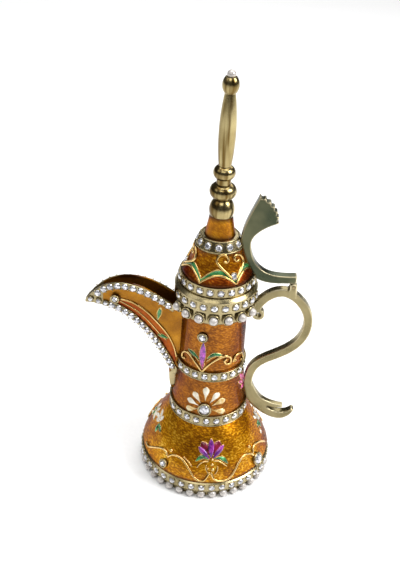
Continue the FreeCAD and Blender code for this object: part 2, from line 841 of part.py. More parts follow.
inset = size.spout_crystal_inset.number
rim_spots = along(right_of(rim, inset)[1:-1], count_of(size.spout_rim_crystal_count),
                  size.rim_crystals_share.number)
keel_spots = along(right_of(keel, inset)[2:-1], count_of(size.spout_keel_crystal_count),
                   size.keel_crystals_share.number)
keep("spout_rim_crystals", held_shape(
    "spout_rim_crystals", copies(crystal_solid(), on_spout_sides(rim_spots))))
keep("spout_keel_crystals", held_shape(
    "spout_keel_crystals", copies(crystal_solid(), on_spout_sides(keel_spots))))
keep("spout", spout)

# Large stones in bezels: on the neck, in the flowers above the waist, on the belly and on the spout


def arc_place(angle, corners, height, sink):
    """A place on a shell whose outline is an arc through three corners, sunk along its normal."""
    curve = Part.Arc(*[flat(corner) for corner in corners]).toShape().Curve
    rise = height - curve.Center.y
    side = 1 if flat(corners[1]).x > curve.Center.x else -1
    reach = side * math.sqrt(curve.Radius ** 2 - rise ** 2)
    tilt = math.atan2(side * rise, abs(reach))
    return radial(angle, curve.Center.x + reach - sink * math.cos(tilt),
                  height - sink * math.sin(tilt), math.degrees(tilt))


NECK_STONE_ANGLES = (254.0, 106.0)
DAISY_STONE_ANGLES = (266.0, 94.0)
BELLY_STONE_ANGLES = (328.0, 232.0, 148.0, 52.0)
cup_sink = size.cup_sink.number
neck_places = []
for angle in NECK_STONE_ANGLES:
    neck_places.append(radial(angle, size.mouth_radius.number - cup_sink,
                              COLLAR_LOW.number - size.neck_stone_drop.number))
daisy_places = []
for angle in DAISY_STONE_ANGLES:
    daisy_places.append(arc_place(angle, LOWER_NECK_OUTSIDE,
                                  WAIST_TOP.number + size.daisy_stone_rise.number, cup_sink))
belly_places = []
for angle in BELLY_STONE_ANGLES:
    belly_places.append(arc_place(angle, BELLY_OUTSIDE[1:],
                                  FOOT_TOP.number + size.belly_stone_rise.number, cup_sink))
stone_spot = Vector(-(size.mouth_radius + size.spout_stone_out).number, 0,
                    (COLLAR_LOW + size.spout_stone_up).number)
spout_places = on_spout_sides([stone_spot])
bezel_places = neck_places + daisy_places + belly_places + spout_places
bezel_radius = size.large_stone_radius.number + size.large_cup_wall.number
bezel_floor = size.large_cup_wall.number
bezel_top = size.large_cup_height.number
large_stone = Part.makeCylinder(
    size.large_stone_radius.number, bezel_top - bezel_floor, Vector(bezel_floor, 0, 0), Vector(1, 0, 0))
large_stone = large_stone.fuse(Part.makeCone(
    size.large_stone_radius.number, size.large_stone_table_radius.number, size.large_stone_crown.number,
    Vector(bezel_top, 0, 0), Vector(1, 0, 0))).removeSplitter()
bezel = Part.makeCylinder(bezel_radius, bezel_top, Vector(), Vector(1, 0, 0)).cut(large_stone)
bezel_seat = seat_solid(bezel_radius, bezel_top + overcut)
keep("stone_bezels", held_shape("stone_bezels", copies(bezel, bezel_places)))
keep("large_stones", held_shape("large_stones", copies(large_stone, bezel_places)))
keep("belly_shell", cut("belly_seated", belly_turned,
                        held_shape("belly_bezel_seats", copies(bezel_seat, belly_places))))

# The neck, with a hole that pours into the spout

pour_hole = doc.addObject("Part::Cylinder", "pour_hole")
bind(pour_hole, "Radius", size.pour_hole_radius)
bind(pour_hole, "Height", size.neck_foot_radius)
pour_hole.Placement = Placement(Vector(), Rotation(Vector(0, 1, 0), -90))
pour_hole.setExpression("Placement.Base.z", (COLLAR_LOW - size.pour_hole_drop).text)
neck_seats = held_shape("neck_bezel_seats", copies(bezel_seat, neck_places + daisy_places))
keep("neck_shell", cut("neck_seated", cut("neck_pierced", neck_tube, pour_hole), neck_seats))

# Handle: a flat scroll strap with hinge ears on its crest and leaves at its tail


def strap_face(points, widths):
    """A strap's outline: a smooth middle line with a width at each of its points."""
    middle = Part.BSplineCurve()
    middle.interpolate(points)
    left, right = [], []
    for point, width in zip(points, widths):
        way = Vector(*middle.tangent(middle.parameter(point))[0])
        normal = Vector(way.z, 0, -way.x) * (width / 2)
        left.append(point - normal)
        right.append(point + normal)
    right.reverse()
    return loop_face([
        curve_edge(left),
        line_edge(left[-1], right[0]),
        curve_edge(right),
        line_edge(right[-1], left[0]),
    ])


handle_line = []
for name in ("handle_root", "handle_shoulder", "handle_crest", "handle_brow", "handle_back", "handle_heel"):
    handle_line.append(curve_point(name, COLLAR_LOW))
handle_line.append(curve_point("handle_cross", MID_TOP))
handle_line.append(curve_point("handle_tuck", MID_LOW))
for name in ("handle_seat", "handle_flare", "handle_sweep", "handle_tail", "handle_tip"):
    handle_line.append(curve_point(name, WAIST_TOP))
strap_widths = [size.strap_width.number] * (len(handle_line) - 1) + [size.strap_tip_width.number]
handle_pieces = [plate("handle_strap", strap_face(handle_line, strap_widths), size.strap_depth)]
for leaf in ("small_leaf", "large_leaf"):
    leaf_line = [curve_point(leaf + end, WAIST_TOP) for end in ("_root", "_middle", "_tip")]
    leaf_widths = [size.leaf_width.number, size.leaf_width.number, size.strap_tip_width.number]
    handle_pieces.append(plate(leaf, strap_face(leaf_line, leaf_widths), size.leaf_depth))
scroll_x = size.mouth_radius + size.handle_root_out + size.scroll_eye_radius
scroll_z = COLLAR_LOW + size.handle_root_up - size.scroll_radius
handle_pieces.append(cylinder_across(
    "handle_scroll", scroll_x, scroll_z, size.scroll_radius, size.strap_depth))
slot_width = size.knuckle_width + size.knuckle_side_gap * 2
ears_width = slot_width + size.ear_thickness * 2
handle_pieces.append(cylinder_across("hinge_ears", HINGE_X, HINGE_Z, size.knuckle_radius, ears_width))
crest_z = COLLAR_LOW + (size.handle_crest_up + size.handle_brow_up) / 2
handle_pieces.append(block(
    "hinge_post",
    (HINGE_X - size.knuckle_radius, NOTHING - ears_width / 2, crest_z),
    (HINGE_X + size.knuckle_radius, ears_width / 2, HINGE_Z)))
handle_whole = fused("handle_whole", handle_pieces)
slot_radius = size.knuckle_radius + size.knuckle_root_gap
handle_cuts = fused("handle_cuts", [
    cylinder_across("hinge_slot", HINGE_X, HINGE_Z, slot_radius, slot_width),
    cylinder_across("ear_bore", HINGE_X, HINGE_Z, size.pin_radius, ears_width * 2),
    cylinder_across("scroll_eye", scroll_x, scroll_z, size.scroll_eye_radius, size.strap_depth * 2),
    pot_envelope,
])
keep("handle", cut("handle_trimmed", handle_whole, handle_cuts))
keep("hinge_pin", cylinder_across("hinge_pin", HINGE_X, HINGE_Z, size.pin_radius,
                                  ears_width + size.pin_overhang * 2))

# Lid: a rim band with crystals, a plug that centres it in the mouth, and an enamelled dome

lid_rim = turned("lid_rim", [
    (LID_BORE, LID_LOW),
    (size.lid_rim_radius, LID_LOW),
    (size.lid_rim_radius, LID_RIM_TOP),
    (LID_BORE, LID_RIM_TOP),
])
lid_rim_places = ring_places(
    count_of(size.lid_rim_crystal_count), size.lid_rim_radius.number - SEAT_DEPTH,
    (LID_LOW.number + LID_RIM_TOP.number) / 2, keep_clear=(LEVER_SIDE,))
lid_rim_crystals, lid_rim = crystals_in(lid_rim, "lid_rim_crystals", lid_rim_places)
keep("lid_rim_band", lid_rim)
keep("lid_rim_crystals", lid_rim_crystals)
plug_top = LID_LOW + size.plug_flange_height
keep("lid_plug", turned("lid_plug", [
    (PLUG_RADIUS - size.plug_wall, MOUTH - size.plug_depth),
    (PLUG_RADIUS, MOUTH - size.plug_depth),
    (PLUG_RADIUS, LID_LOW),
    (LID_BORE, LID_LOW),
    (LID_BORE, plug_top),
    (PLUG_RADIUS - size.plug_wall, plug_top),
]))
crown_low = DOME_TOP - size.dome_wall
keep("lid_dome", turned("lid_dome", DOME_OUTSIDE + [
    (size.stud_radius, DOME_TOP),
    (size.stud_radius, crown_low),
    (size.dome_top_radius - size.dome_wall, crown_low),
    (size.dome_middle_radius - size.dome_wall, DOME_MIDDLE - size.dome_wall, VIA),
    (size.dome_foot_radius - size.dome_wall, LID_RIM_TOP),
]))
lid_band = turned("lid_band", [
    (size.stud_radius, DOME_TOP),
    (size.lid_band_foot_radius, DOME_TOP),
    (size.lid_band_top_radius, LID_BAND_TOP),
    (size.stud_radius, LID_BAND_TOP),
])
band_lean = math.atan2((size.lid_band_foot_radius - size.lid_band_top_radius).number,
                       size.lid_band_height.number)
band_middle_radius = (size.lid_band_foot_radius + size.lid_band_top_radius).number / 2
lid_band_places = ring_places(
    count_of(size.lid_band_crystal_count), band_middle_radius - SEAT_DEPTH * math.cos(band_lean),
    (DOME_TOP.number + LID_BAND_TOP.number) / 2 - SEAT_DEPTH * math.sin(band_lean),
    tilt=math.degrees(band_lean), keep_clear=(LEVER_SIDE,))
lid_band_crystals, lid_band = crystals_in(lid_band, "lid_band_crystals", lid_band_places)
keep("lid_upper_band", lid_band)
keep("lid_upper_crystals", lid_band_crystals)
TAPER_OUTSIDE = [
    (size.taper_foot_radius, LID_BAND_TOP),
    (size.taper_middle_radius, TAPER_MIDDLE, VIA),
    (size.taper_top_radius, TAPER_TOP),
]
keep("lid_taper", turned("lid_taper", TAPER_OUTSIDE + [
    (size.stud_radius, TAPER_TOP),
    (size.stud_radius, LID_BAND_TOP),
]))

# Finial: one turned spindle on a stud whose head holds the lid's pieces together from below

stud_top = TAPER_TOP + size.stud_length
keep("finial_stud", turned("finial_stud", [
    (NOTHING, crown_low - size.stud_head_height),
    (size.stud_head_radius, crown_low - size.stud_head_height),
    (size.stud_head_radius, crown_low),
    (size.stud_radius, crown_low),
    (size.stud_radius, stud_top),
    (NOTHING, stud_top),
]))
finial = turned("finial_spindle", [
    (NOTHING, stud_top),
    (size.stud_radius, stud_top),
    (size.stud_radius, TAPER_TOP),
    (size.taper_top_radius, TAPER_TOP),
    (size.bell_radius, TAPER_TOP + size.bell_belly_height, VIA),
    (size.bell_top_radius, BELL_TOP),
    (size.lower_ring_radius, BELL_TOP + size.lower_ring_height / 2, VIA),
    (size.ring_neck_radius, LOWER_RING_TOP),
    (size.ring_neck_radius, UPPER_RING_LOW),
    (size.upper_ring_radius, UPPER_RING_LOW + size.upper_ring_height / 2, VIA),
    (size.spindle_foot_radius, UPPER_RING_TOP),
    (size.spindle_radius, UPPER_RING_TOP + size.spindle_belly_height, VIA),
    (size.spindle_top_radius, SPINDLE_TOP),
    (size.cap_radius, SPINDLE_TOP + size.cap_belly_height, VIA),
    (size.cap_top_radius, CAP_TOP),
    (NOTHING, CAP_TOP),
])
tip_pearl = doc.addObject("Part::Sphere", "tip_pearl")
bind(tip_pearl, "Radius", size.tip_pearl_radius)
tip_pearl.setExpression("Placement.Base.z", (CAP_TOP + size.tip_pearl_radius - size.tip_pearl_sink).text)
keep("finial", cut("finial_seated", finial, tip_pearl))
keep("tip_pearl", tip_pearl)

# Thumb lever: a plate on the lid's side whose knuckle turns on the hinge pin, with a fluted fan above

lid_envelope = turned("lid_envelope", [
    (NOTHING, LID_LOW),
    (size.lid_rim_radius, LID_LOW),
    (size.lid_rim_radius, LID_RIM_TOP),
] + DOME_OUTSIDE + [
    (size.lid_band_foot_radius, DOME_TOP),
    (size.lid_band_top_radius, LID_BAND_TOP),
] + TAPER_OUTSIDE + [(NOTHING, TAPER_TOP)])
bar_low = HINGE_Z + size.knuckle_radius + size.lever_bar_gap
bar_high = bar_low + size.lever_bar_width
lever_under = [side_point(HINGE_X + size.lever_end, bar_low)]
for name in ("lever_belly", "lever_knee", "lever_calf", "lever_shin", "lever_nape", "lever_head", "fan_top"):
    lever_under.append(curve_point(name, MOUTH))
lever_over = []
for name in ("fan_bottom", "lever_chin", "lever_throat", "lever_chest", "lever_lap", "lever_top",
             "lever_bar"):
    lever_over.append(curve_point(name, MOUTH))
lever_over.append(side_point(HINGE_X + size.lever_end, bar_high))
fan_edge = Part.Arc(lever_under[-1], curve_point("fan_middle", MOUTH), lever_over[0]).toShape()
lever_plate = plate("lever_plate", loop_face([
    curve_edge(lever_under),
    fan_edge,
    curve_edge(lever_over),
    line_edge(lever_over[-1], lever_under[0]),
]), size.lever_depth)
lever_whole = fused("lever_whole", [
    lever_plate,
    cylinder_across("lever_knuckle", HINGE_X, HINGE_Z, size.knuckle_radius, size.knuckle_width),
    block(
        "knuckle_web",
        (HINGE_X - size.knuckle_radius, NOTHING - size.knuckle_width / 2, HINGE_Z),
        (HINGE_X + size.knuckle_radius / 2, size.knuckle_width / 2, bar_low + size.lever_bar_gap)),
])
flutes = []
for index in range(count_of(size.flute_count)):
    share = (index + 0.5) / count_of(size.flute_count)
    spot = fan_edge.valueAt(fan_edge.getParameterByLength(fan_edge.Length * share))
    flutes.append(Part.makeCylinder(
        size.flute_radius.number, size.lever_depth.number * 2,
        spot - Vector(0, size.lever_depth.number, 0), Vector(0, 1, 0)))
lever_cuts = fused("lever_cuts", [
    held_shape("fan_flutes", Part.makeCompound(flutes)),
    cylinder_across("knuckle_bore", HINGE_X, HINGE_Z, size.pin_radius + size.pin_running_clearance,
                    size.lever_depth * 2),
    lid_envelope,
])
keep("thumb_lever", cut("thumb_lever_trimmed", lever_whole, lever_cuts))

# Build everything, make sure of it, and write one file for each sub-part

doc.recompute()
for thing in doc.Objects:
    if "Invalid" in thing.State or "Error" in thing.State:
        raise RuntimeError("not built: " + thing.Label)
for name, thing in parts.items():
    if thing.Label != name:
        raise RuntimeError("name already taken: " + name)
    if thing.Shape.isNull() or not thing.Shape.isValid():
        raise RuntimeError("not a sound shape: " + name)
os.makedirs("parts", exist_ok=True)
for name, thing in parts.items():
    thing.Shape.exportStep("parts/" + name + ".step")
    print(name, len(thing.Shape.Solids), "solids", round(thing.Shape.Volume, 1), "mm3")
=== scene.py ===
# %% [markdown]
# # Dressing a dallah
# A dallah is the pot that coffee is poured from around the Gulf. This one is a keepsake: two shells under
# amber enamel, bands of foil-backed crystals and pearls, and a tall lid on a hinge. The shells, the handle and
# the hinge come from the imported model, which is the fixed frame. What makes it a jewel is added on top of that
# frame, and never by moving it.

# %% Load the frame
import functools
from math import cos, log, pi, radians, sin

import bmesh
import bpy
import numpy as np
from mathutils import Matrix, Vector
from mathutils.bvhtree import BVHTree


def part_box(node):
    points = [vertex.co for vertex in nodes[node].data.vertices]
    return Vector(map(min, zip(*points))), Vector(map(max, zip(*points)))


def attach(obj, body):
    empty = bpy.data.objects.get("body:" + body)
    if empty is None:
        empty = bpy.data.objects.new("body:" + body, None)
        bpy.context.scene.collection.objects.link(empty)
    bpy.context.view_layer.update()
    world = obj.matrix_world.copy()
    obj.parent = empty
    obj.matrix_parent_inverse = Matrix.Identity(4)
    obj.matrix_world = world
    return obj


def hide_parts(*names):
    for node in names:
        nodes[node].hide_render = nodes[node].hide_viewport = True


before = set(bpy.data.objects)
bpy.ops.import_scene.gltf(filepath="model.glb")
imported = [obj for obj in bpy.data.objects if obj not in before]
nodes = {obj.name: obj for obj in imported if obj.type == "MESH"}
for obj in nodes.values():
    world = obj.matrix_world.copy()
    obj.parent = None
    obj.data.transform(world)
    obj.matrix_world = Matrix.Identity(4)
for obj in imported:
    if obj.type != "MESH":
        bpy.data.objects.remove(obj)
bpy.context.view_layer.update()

MM = 0.001


def placed(name, data):
    """An object in the scene."""
    thing = bpy.data.objects.new(name, data)
    bpy.context.scene.collection.objects.link(thing)
    return thing


# %% [markdown]
# ## The camera
# The photograph looks down on the pot by about 32 degrees from less than half a metre away, with a slight
# roll. A camera could be aimed with a constraint, but three turns written out serve twice: their axes set the
# camera here, and later they make a pixel of the photograph a ray that finds where a petal or a wire lies.

# %% Camera
PHOTO_WIDTH = 400
PHOTO_HEIGHT = 570
FOCAL_PIXELS = 800
SENSOR_WIDTH = 36.0
CAMERA_PLACE = Vector((0, -283.1, 273.2)) * MM
LOOK_DOWN = radians(32.3)
LOOK_ASIDE = radians(-1.37)
CAMERA_ROLL = radians(3.47)
NEAREST = 10 * MM

turns = ((-LOOK_ASIDE, "Z"), (pi / 2 - LOOK_DOWN, "X"), (CAMERA_ROLL, "Z"))
aside, down, roll = (Matrix.Rotation(angle, 3, axis) for angle, axis in turns)
camera_turn = aside @ down @ roll
camera_right, camera_up, camera_back = camera_turn.col

camera_data = bpy.data.cameras.new("camera")
camera_data.sensor_width = SENSOR_WIDTH
camera_data.lens = FOCAL_PIXELS * SENSOR_WIDTH / PHOTO_HEIGHT
camera_data.clip_start = NEAREST
camera = placed("camera", camera_data)
camera.matrix_world = camera_turn.to_4x4()
camera.location = CAMERA_PLACE
bpy.context.scene.camera = camera
print("lens:", round(camera_data.lens, 1), "mm")

# %% [markdown]
# ## Finishes as arithmetic
# A procedural finish is a small formula: noise here, a ramp there, mixed and sharpened. Nodes can be wired by
# hand, but long formulas are hard to follow that way. Here one small class wraps a socket so that plus, minus
# and times add the Math nodes, and one method makes every other kind of node.

# %% Values and finishes


class Value:
    """A node's output that takes part in Python arithmetic."""

    def __init__(self, finish, socket):
        self.finish = finish
        self.socket = socket

    def __add__(self, other):
        return self.finish.math("ADD", self, other)

    def __sub__(self, other):
        return self.finish.math("SUBTRACT", self, other)

    def __rsub__(self, other):
        return self.finish.math("SUBTRACT", other, self)

    def __mul__(self, other):
        return self.finish.math("MULTIPLY", self, other)

    __radd__ = __add__
    __rmul__ = __mul__


class Finish:
    """A material or a world: one shader and the nodes that feed it."""

    def __init__(self, name, owners=bpy.data.materials, shader="Principled BSDF"):
        self.owner = owners.new(name)
        self.owner.use_nodes = True
        self.tree = self.owner.node_tree
        self.shader = self.tree.nodes[shader]

    @functools.cached_property
    def place(self):
        """Where a point is, in metres."""
        return self.node("ShaderNodeTexCoord", output="Object")

    def plug(self, socket, value):
        if isinstance(value, Value):
            self.tree.links.new(value.socket, socket)
        elif socket.type == "RGBA":
            socket.default_value = (*value, 1.0)
        else:
            socket.default_value = value

    def node(self, kind, settings=None, inputs=None, output=0):
        """A node with its settings, then the values or links of its inputs."""
        node = self.tree.nodes.new(kind)
        for name, value in (settings or {}).items():
            if name == "stops":
                self.set_stops(node.color_ramp, value)
            else:
                setattr(node, name, value)
        for name, value in (inputs or {}).items():
            self.plug(node.inputs[name], value)
        return Value(self, node.outputs[output])

    def set_stops(self, ramp, stops):
        while len(ramp.elements) < len(stops):
            ramp.elements.new(1.0)
        for element, (place, colour) in zip(ramp.elements, stops):
            element.position = place
            element.color = (*colour, 1.0)

    def math(self, operation, *values):
        return self.node("ShaderNodeMath", {"operation": operation}, dict(enumerate(values)))

    def noise(self, grain, detail=2.0, place=None):
        """Cloudy noise whose lumps are about one grain across."""
        inputs = {"Vector": place or self.place, "Scale": 1.0 / grain, "Detail": detail}
        return self.node("ShaderNodeTexNoise", {}, inputs)

    def axes(self):
        """The three numbers of a place."""
        x = self.node("ShaderNodeSeparateXYZ", {}, {0: self.place})
        return [Value(self, output) for output in x.socket.node.outputs]

    def strokes(self, width, rise, detail, slant=0.0):
        """Noise in strokes of one width across the pot and another up it, slanted by the angle round it."""
        x, y, z = self.axes()
        lie = {"X": x * (1 / width), "Y": y * (1 / width), "Z": z * (1 / rise)}
        if slant:
            lie["Z"] += self.math("ARCTAN2", y, x) * slant
        return self.noise(1.0, detail, self.node("ShaderNodeCombineXYZ", {}, lie))

    def blend(self, share, first, second):
        """Two colours mixed by a share."""
        return self.node("ShaderNodeMix", {"data_type": "RGBA"}, {0: share, 6: first, 7: second}, output=2)

    def step(self, value, low, high):
        """0 below low, 1 above high, and smooth between."""
        inputs = {"Value": value, "From Min": low, "From Max": high}
        return self.node("ShaderNodeMapRange", {"interpolation_type": "SMOOTHSTEP"}, inputs)

    def bump(self, height, depth, strength):
        return self.node("ShaderNodeBump", {}, {"Height": height, "Distance": depth, "Strength": strength})

    def shade(self, sockets):
        for name, value in sockets.items():
            self.plug(self.shader.inputs[name], value)
        return self.owner


print("arithmetic ready")

# %% [markdown]
# ## Amber enamel over engraving
# The maker engraves fine cuts in the metal and melts clear amber glass over them; the glass on top is smooth.
# A bump under a clear coat gives that: the metal's normal is rough, the coat keeps the true surface. The
# colour follows the cuts too: they are painted bright gold, as glints, a painted highlight on the pattern of
# the engraving, with brown between them. A wave texture would look machined, so the cuts are noise in short
# strokes, slanted by the angle round the pot, which starts again below the spout. The colour darkens towards
# the top and bottom edges of a shell. The spout's tip is left bare gold.

# %% Amber enamel
CUT_LENGTH = 1.3 * MM
CUT_RISE = 0.5 * MM
CUT_SLANT = 5.0
CUT_DEPTH = 0.16 * MM
PAINTED_GLINT_STEP = (0.40, 0.68)
PAINTED_GLINT_MEAN = 0.4
CLOUD_GRAIN = 11 * MM
CLOUD_SHARE = 0.62
FLECK_GRAIN = 0.6 * MM
FLECK_SHARE = 0.22
DEEPEST_SHARE = 0.06
DARK_EDGE = (-0.4 * MM, 2.6 * MM)
GILDED_EDGE = 0.3 * MM
BARE_GOLD = (0.36, 0.30, 0.16)


def amber_enamel(name, node_name, stops, edge_colour, engraving_and_glint=0.2, gilded=None):
    """Clear amber glass over metal; engraved is how far the cuts show, in the bump and as painted highlight
    glints, gilded how much of the tip is bare.
    """
    finish = Finish(name)
    low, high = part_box(node_name)
    along, height = finish.axes()[::2]
    cuts = finish.strokes(CUT_LENGTH, CUT_RISE, detail=1.5, slant=CUT_SLANT)
    cloud = finish.noise(CLOUD_GRAIN, 3.0)
    fleck = finish.noise(FLECK_GRAIN)
    # painted highlight: the cuts also push the colour towards bright gold, as glints
    painted_glint = finish.step(cuts, *PAINTED_GLINT_STEP) * engraving_and_glint
    share = cloud * CLOUD_SHARE + painted_glint + fleck * FLECK_SHARE + (DEEPEST_SHARE - engraving_and_glint * PAINTED_GLINT_MEAN)
    colour = finish.node("ShaderNodeValToRGB", {"stops": stops}, {0: share})
    # darker towards the top and bottom edges of the shell
    from_edge = finish.math("MINIMUM", height - low.z, high.z - height)
    colour = finish.blend(finish.step(from_edge, *DARK_EDGE), edge_colour, colour)
    if gilded:
        bare = finish.step(along, low.x + gilded, low.x + gilded + GILDED_EDGE)
        colour = finish.blend(bare, BARE_GOLD, colour)
    return finish.shade({
        "Base Color": colour,
        "Metallic": 0.9,
        "Roughness": 0.26 + fleck * 0.2,
        "Normal": finish.bump(cuts * engraving_and_glint * 4 + fleck * 0.5, CUT_DEPTH, 0.6),
        "Specular Tint": edge_colour,
        "Specular IOR Level": 0.2,
        "Coat Weight": 0.22,
        "Coat Roughness": 0.08,
    })


BROWN = (0.05, 0.016, 0.003)
RUST = (0.08, 0.02, 0.004)
AMBER_STOPS = [(0.25, (0.20, 0.065, 0.002)), (0.42, (0.42, 0.15, 0.004)), (0.58, (0.70, 0.31, 0.008)),
               (0.78, (1.0, 0.64, 0.08))]
NECK_STOPS = [(0.25, (0.09, 0.027, 0.003)), (0.45, (0.24, 0.075, 0.006)), (0.62, (0.42, 0.15, 0.012)),
              (0.85, (0.72, 0.34, 0.04))]
DOME_STOPS = [(0.25, (0.14, 0.036, 0.002)), (0.42, (0.38, 0.12, 0.004)), (0.58, (0.70, 0.29, 0.01)),
              (0.78, (1.0, 0.62, 0.08))]
SPOUT_STOPS = [(0.25, (0.10, 0.035, 0.003)), (0.45, (0.26, 0.10, 0.006)), (0.62, (0.45, 0.195, 0.012)),
               (0.85, (0.76, 0.42, 0.05))]
RED_STOPS = [(0.22, (0.06, 0.006, 0.001)), (0.45, (0.24, 0.04, 0.003)), (0.62, (0.44, 0.11, 0.008)),
             (0.85, (0.80, 0.36, 0.03))]
belly_enamel = amber_enamel("amber_enamel_belly", "belly_shell", AMBER_STOPS, RUST, engraving_and_glint=0.26)
neck_enamel = amber_enamel("amber_enamel_neck", "neck_shell", NECK_STOPS, RUST, engraving_and_glint=0.22)
dome_enamel = amber_enamel("amber_enamel_dome", "lid_dome", DOME_STOPS, BROWN)
taper_enamel = amber_enamel("amber_enamel_taper", "lid_taper", AMBER_STOPS, BROWN, engraving_and_glint=0.1)
spout_enamel = amber_enamel("amber_enamel_spout", "spout", SPOUT_STOPS, BROWN, engraving_and_glint=0.0, gilded=7.5 * MM)
rust_enamel = amber_enamel("rust_enamel", "spout", RED_STOPS, BROWN, engraving_and_glint=0.0)
red_enamel = amber_enamel("red_enamel", "lid_dome", RED_STOPS, BROWN)
print("amber enamels: 7")

# %% [markdown]
# ## Coloured enamels
# Petals and leaves are small cells of opaque or jewel-bright glass between gold wires. Their colour pools: it
# is deeper at one side and lighter where the glass is thin. A soft noise between two colours gives that, and
# a strong coat gives the wet shine.

# %% Coloured enamels
POOL_GRAIN = 2.4 * MM
POOL_STEP = (0.34, 0.66)
SPECK_GRAIN = 0.4 * MM
SPECK_DEPTH = 0.04 * MM


def cell_enamel(name, deep, pale, metal):
    """Glass that pools from a pale colour to a deep one; metal is how far the foil under it shows."""
    finish = Finish(name)
    pooled = finish.step(finish.noise(POOL_GRAIN, 1.0), *POOL_STEP)
    speck = finish.noise(SPECK_GRAIN, 1.0)
    return finish.shade({
        "Base Color": finish.blend(pooled, deep, pale),
        "Metallic": metal,
        "Roughness": 0.18 + speck * 0.16,
        "Normal": finish.bump(speck, SPECK_DEPTH, 0.3),
        "Coat Weight": 0.9,
        "Coat Roughness": 0.05,
    })


purple_enamel = cell_enamel("purple_enamel", (0.12, 0.012, 0.20), (0.42, 0.05, 0.42), 0.3)
magenta_enamel = cell_enamel("magenta_enamel", (0.28, 0.005, 0.10), (0.72, 0.06, 0.30), 0.3)
crimson_enamel = cell_enamel("crimson_enamel", (0.10, 0.004, 0.012), (0.30, 0.012, 0.05), 0.35)
green_enamel = cell_enamel("green_enamel", (0.008, 0.09, 0.02), (0.06, 0.33, 0.09), 0.35)
white_enamel = cell_enamel("white_enamel", (0.70, 0.64, 0.50), (0.90, 0.87, 0.78), 0.0)
cream_enamel = cell_enamel("cream_enamel", (0.66, 0.42, 0.12), (0.86, 0.72, 0.42), 0.15)
print("coloured enamels: 6")

# %% [markdown]
# ## Plated metal
# Most of the metal is pale, slightly green gold that has dulled. Its colour turns brown in the crevices, which
# the Ambient Occlusion node finds. The handle gets a darker copy of the gold, as painted shade for its flanks,
# and the lever a near-black one, as a painted reflection of the dark room. Their edges are paler, found by
# Pointiness: part rubbed wear, part painted highlight. The finial is the same plating, polished lengthwise,
# with long brown streaks that are part polish marks and part painted reflection.

# %% Plated metal
CREVICE = 0.7 * MM
STREAK_WIDTH = 2.2 * MM
STREAK_LENGTH = 30 * MM
STREAK_AND_REFLECTION_STEP = (0.36, 0.60)
CREVICE_DARKENING_STEP = (0.1, 0.7)
WEAR_AND_HIGHLIGHT_STEP = (0.508, 0.545)
DULL_GRAIN = 14 * MM
DULL_STEP = (0.3, 0.7)
CAST_GRAIN = 0.7 * MM
CAST_DEPTH = 0.05 * MM


def plated_gold(name, dull, pale, roughness, crevice_brown, wear_and_edge_highlight=None, streak_and_reflection_colour=None):
    """Plating from dull to pale, brown in the crevices; worn colours its edges, part rubbed wear and part
    painted highlight, streaked its streaks, part polish marks and part painted reflection.
    """
    finish = Finish(name)
    cloud = finish.noise(DULL_GRAIN, 3.0)
    grain = finish.noise(CAST_GRAIN)
    metal = finish.blend(finish.step(cloud, *DULL_STEP), dull, pale)
    # painted reflection: long dark streaks, part polish marks and part the dark room reflected
    if streak_and_reflection_colour:
        polish_and_reflection_streak = finish.strokes(STREAK_WIDTH, STREAK_LENGTH, detail=2.0)
        metal = finish.blend(finish.step(polish_and_reflection_streak, *STREAK_AND_REFLECTION_STEP), streak_and_reflection_colour, metal)
    # darker brown in the crevices that the Ambient Occlusion node finds
    open_air = finish.node("ShaderNodeAmbientOcclusion", {"samples": 4}, {"Distance": CREVICE}, output="AO")
    colour = finish.blend(finish.step(open_air, *CREVICE_DARKENING_STEP), crevice_brown, metal)
    # painted highlight: pale edges found by Pointiness, part rubbed wear and part highlight along the edges
    if wear_and_edge_highlight:
        edge = finish.node("ShaderNodeNewGeometry", output="Pointiness")
        colour = finish.blend(finish.step(edge, *WEAR_AND_HIGHLIGHT_STEP), colour, wear_and_edge_highlight)
    return finish.shade({
        "Base Color": colour,
        "Metallic": 1.0,
        "Roughness": roughness + cloud * 0.14 + grain * 0.06,
        "Normal": finish.bump(grain + cloud * 2.0, CAST_DEPTH, 0.35),
    })


cast_gold = plated_gold("cast_gold", (0.27, 0.22, 0.11), (0.46, 0.385, 0.215), 0.16, (0.08, 0.05, 0.016))
wire_gold = plated_gold("wire_gold", (0.52, 0.33, 0.10), (0.85, 0.60, 0.24), 0.14, (0.30, 0.14, 0.03))
# the finial's dark streaks are part polish marks and part painted reflection
bright_gold = plated_gold("bright_gold", (0.28, 0.215, 0.09), (0.50, 0.41, 0.20), 0.13, (0.07, 0.04, 0.012),
                          streak_and_reflection_colour=(0.13, 0.08, 0.022))
inner_gold = plated_gold("inner_gold", (0.20, 0.15, 0.07), (0.32, 0.25, 0.13), 0.30, (0.05, 0.03, 0.01))
# painted shade: a darker copy of the cast gold for the handle's shaded flanks
handle_gold = plated_gold("handle_gold", (0.15, 0.125, 0.06), (0.30, 0.25, 0.13), 0.18, (0.05, 0.035, 0.012),
                          wear_and_edge_highlight=(0.62, 0.54, 0.34))
# painted reflection: the lever's gold is near black-green, the dark room reflected in it
lever_gold = plated_gold("lever_gold", (0.05, 0.06, 0.036), (0.115, 0.115, 0.065), 0.2, (0.03, 0.025, 0.012),
                         wear_and_edge_highlight=(0.52, 0.45, 0.28))
print("plated metals: 6")

# %% [markdown]
# ## Crystal and pearl
# The stones are cheap brilliants with foil on their backs, so light that enters comes straight back. Real
# glass over real foil would need many light paths; a mirror-like facet with a cool grey colour looks the same
# at this size, and the crystals drift from dark to pale grey as a painted sparkle. Pearls are a milky white
# with a soft coat and a faint, uneven warmth.

# %% Crystal and pearl


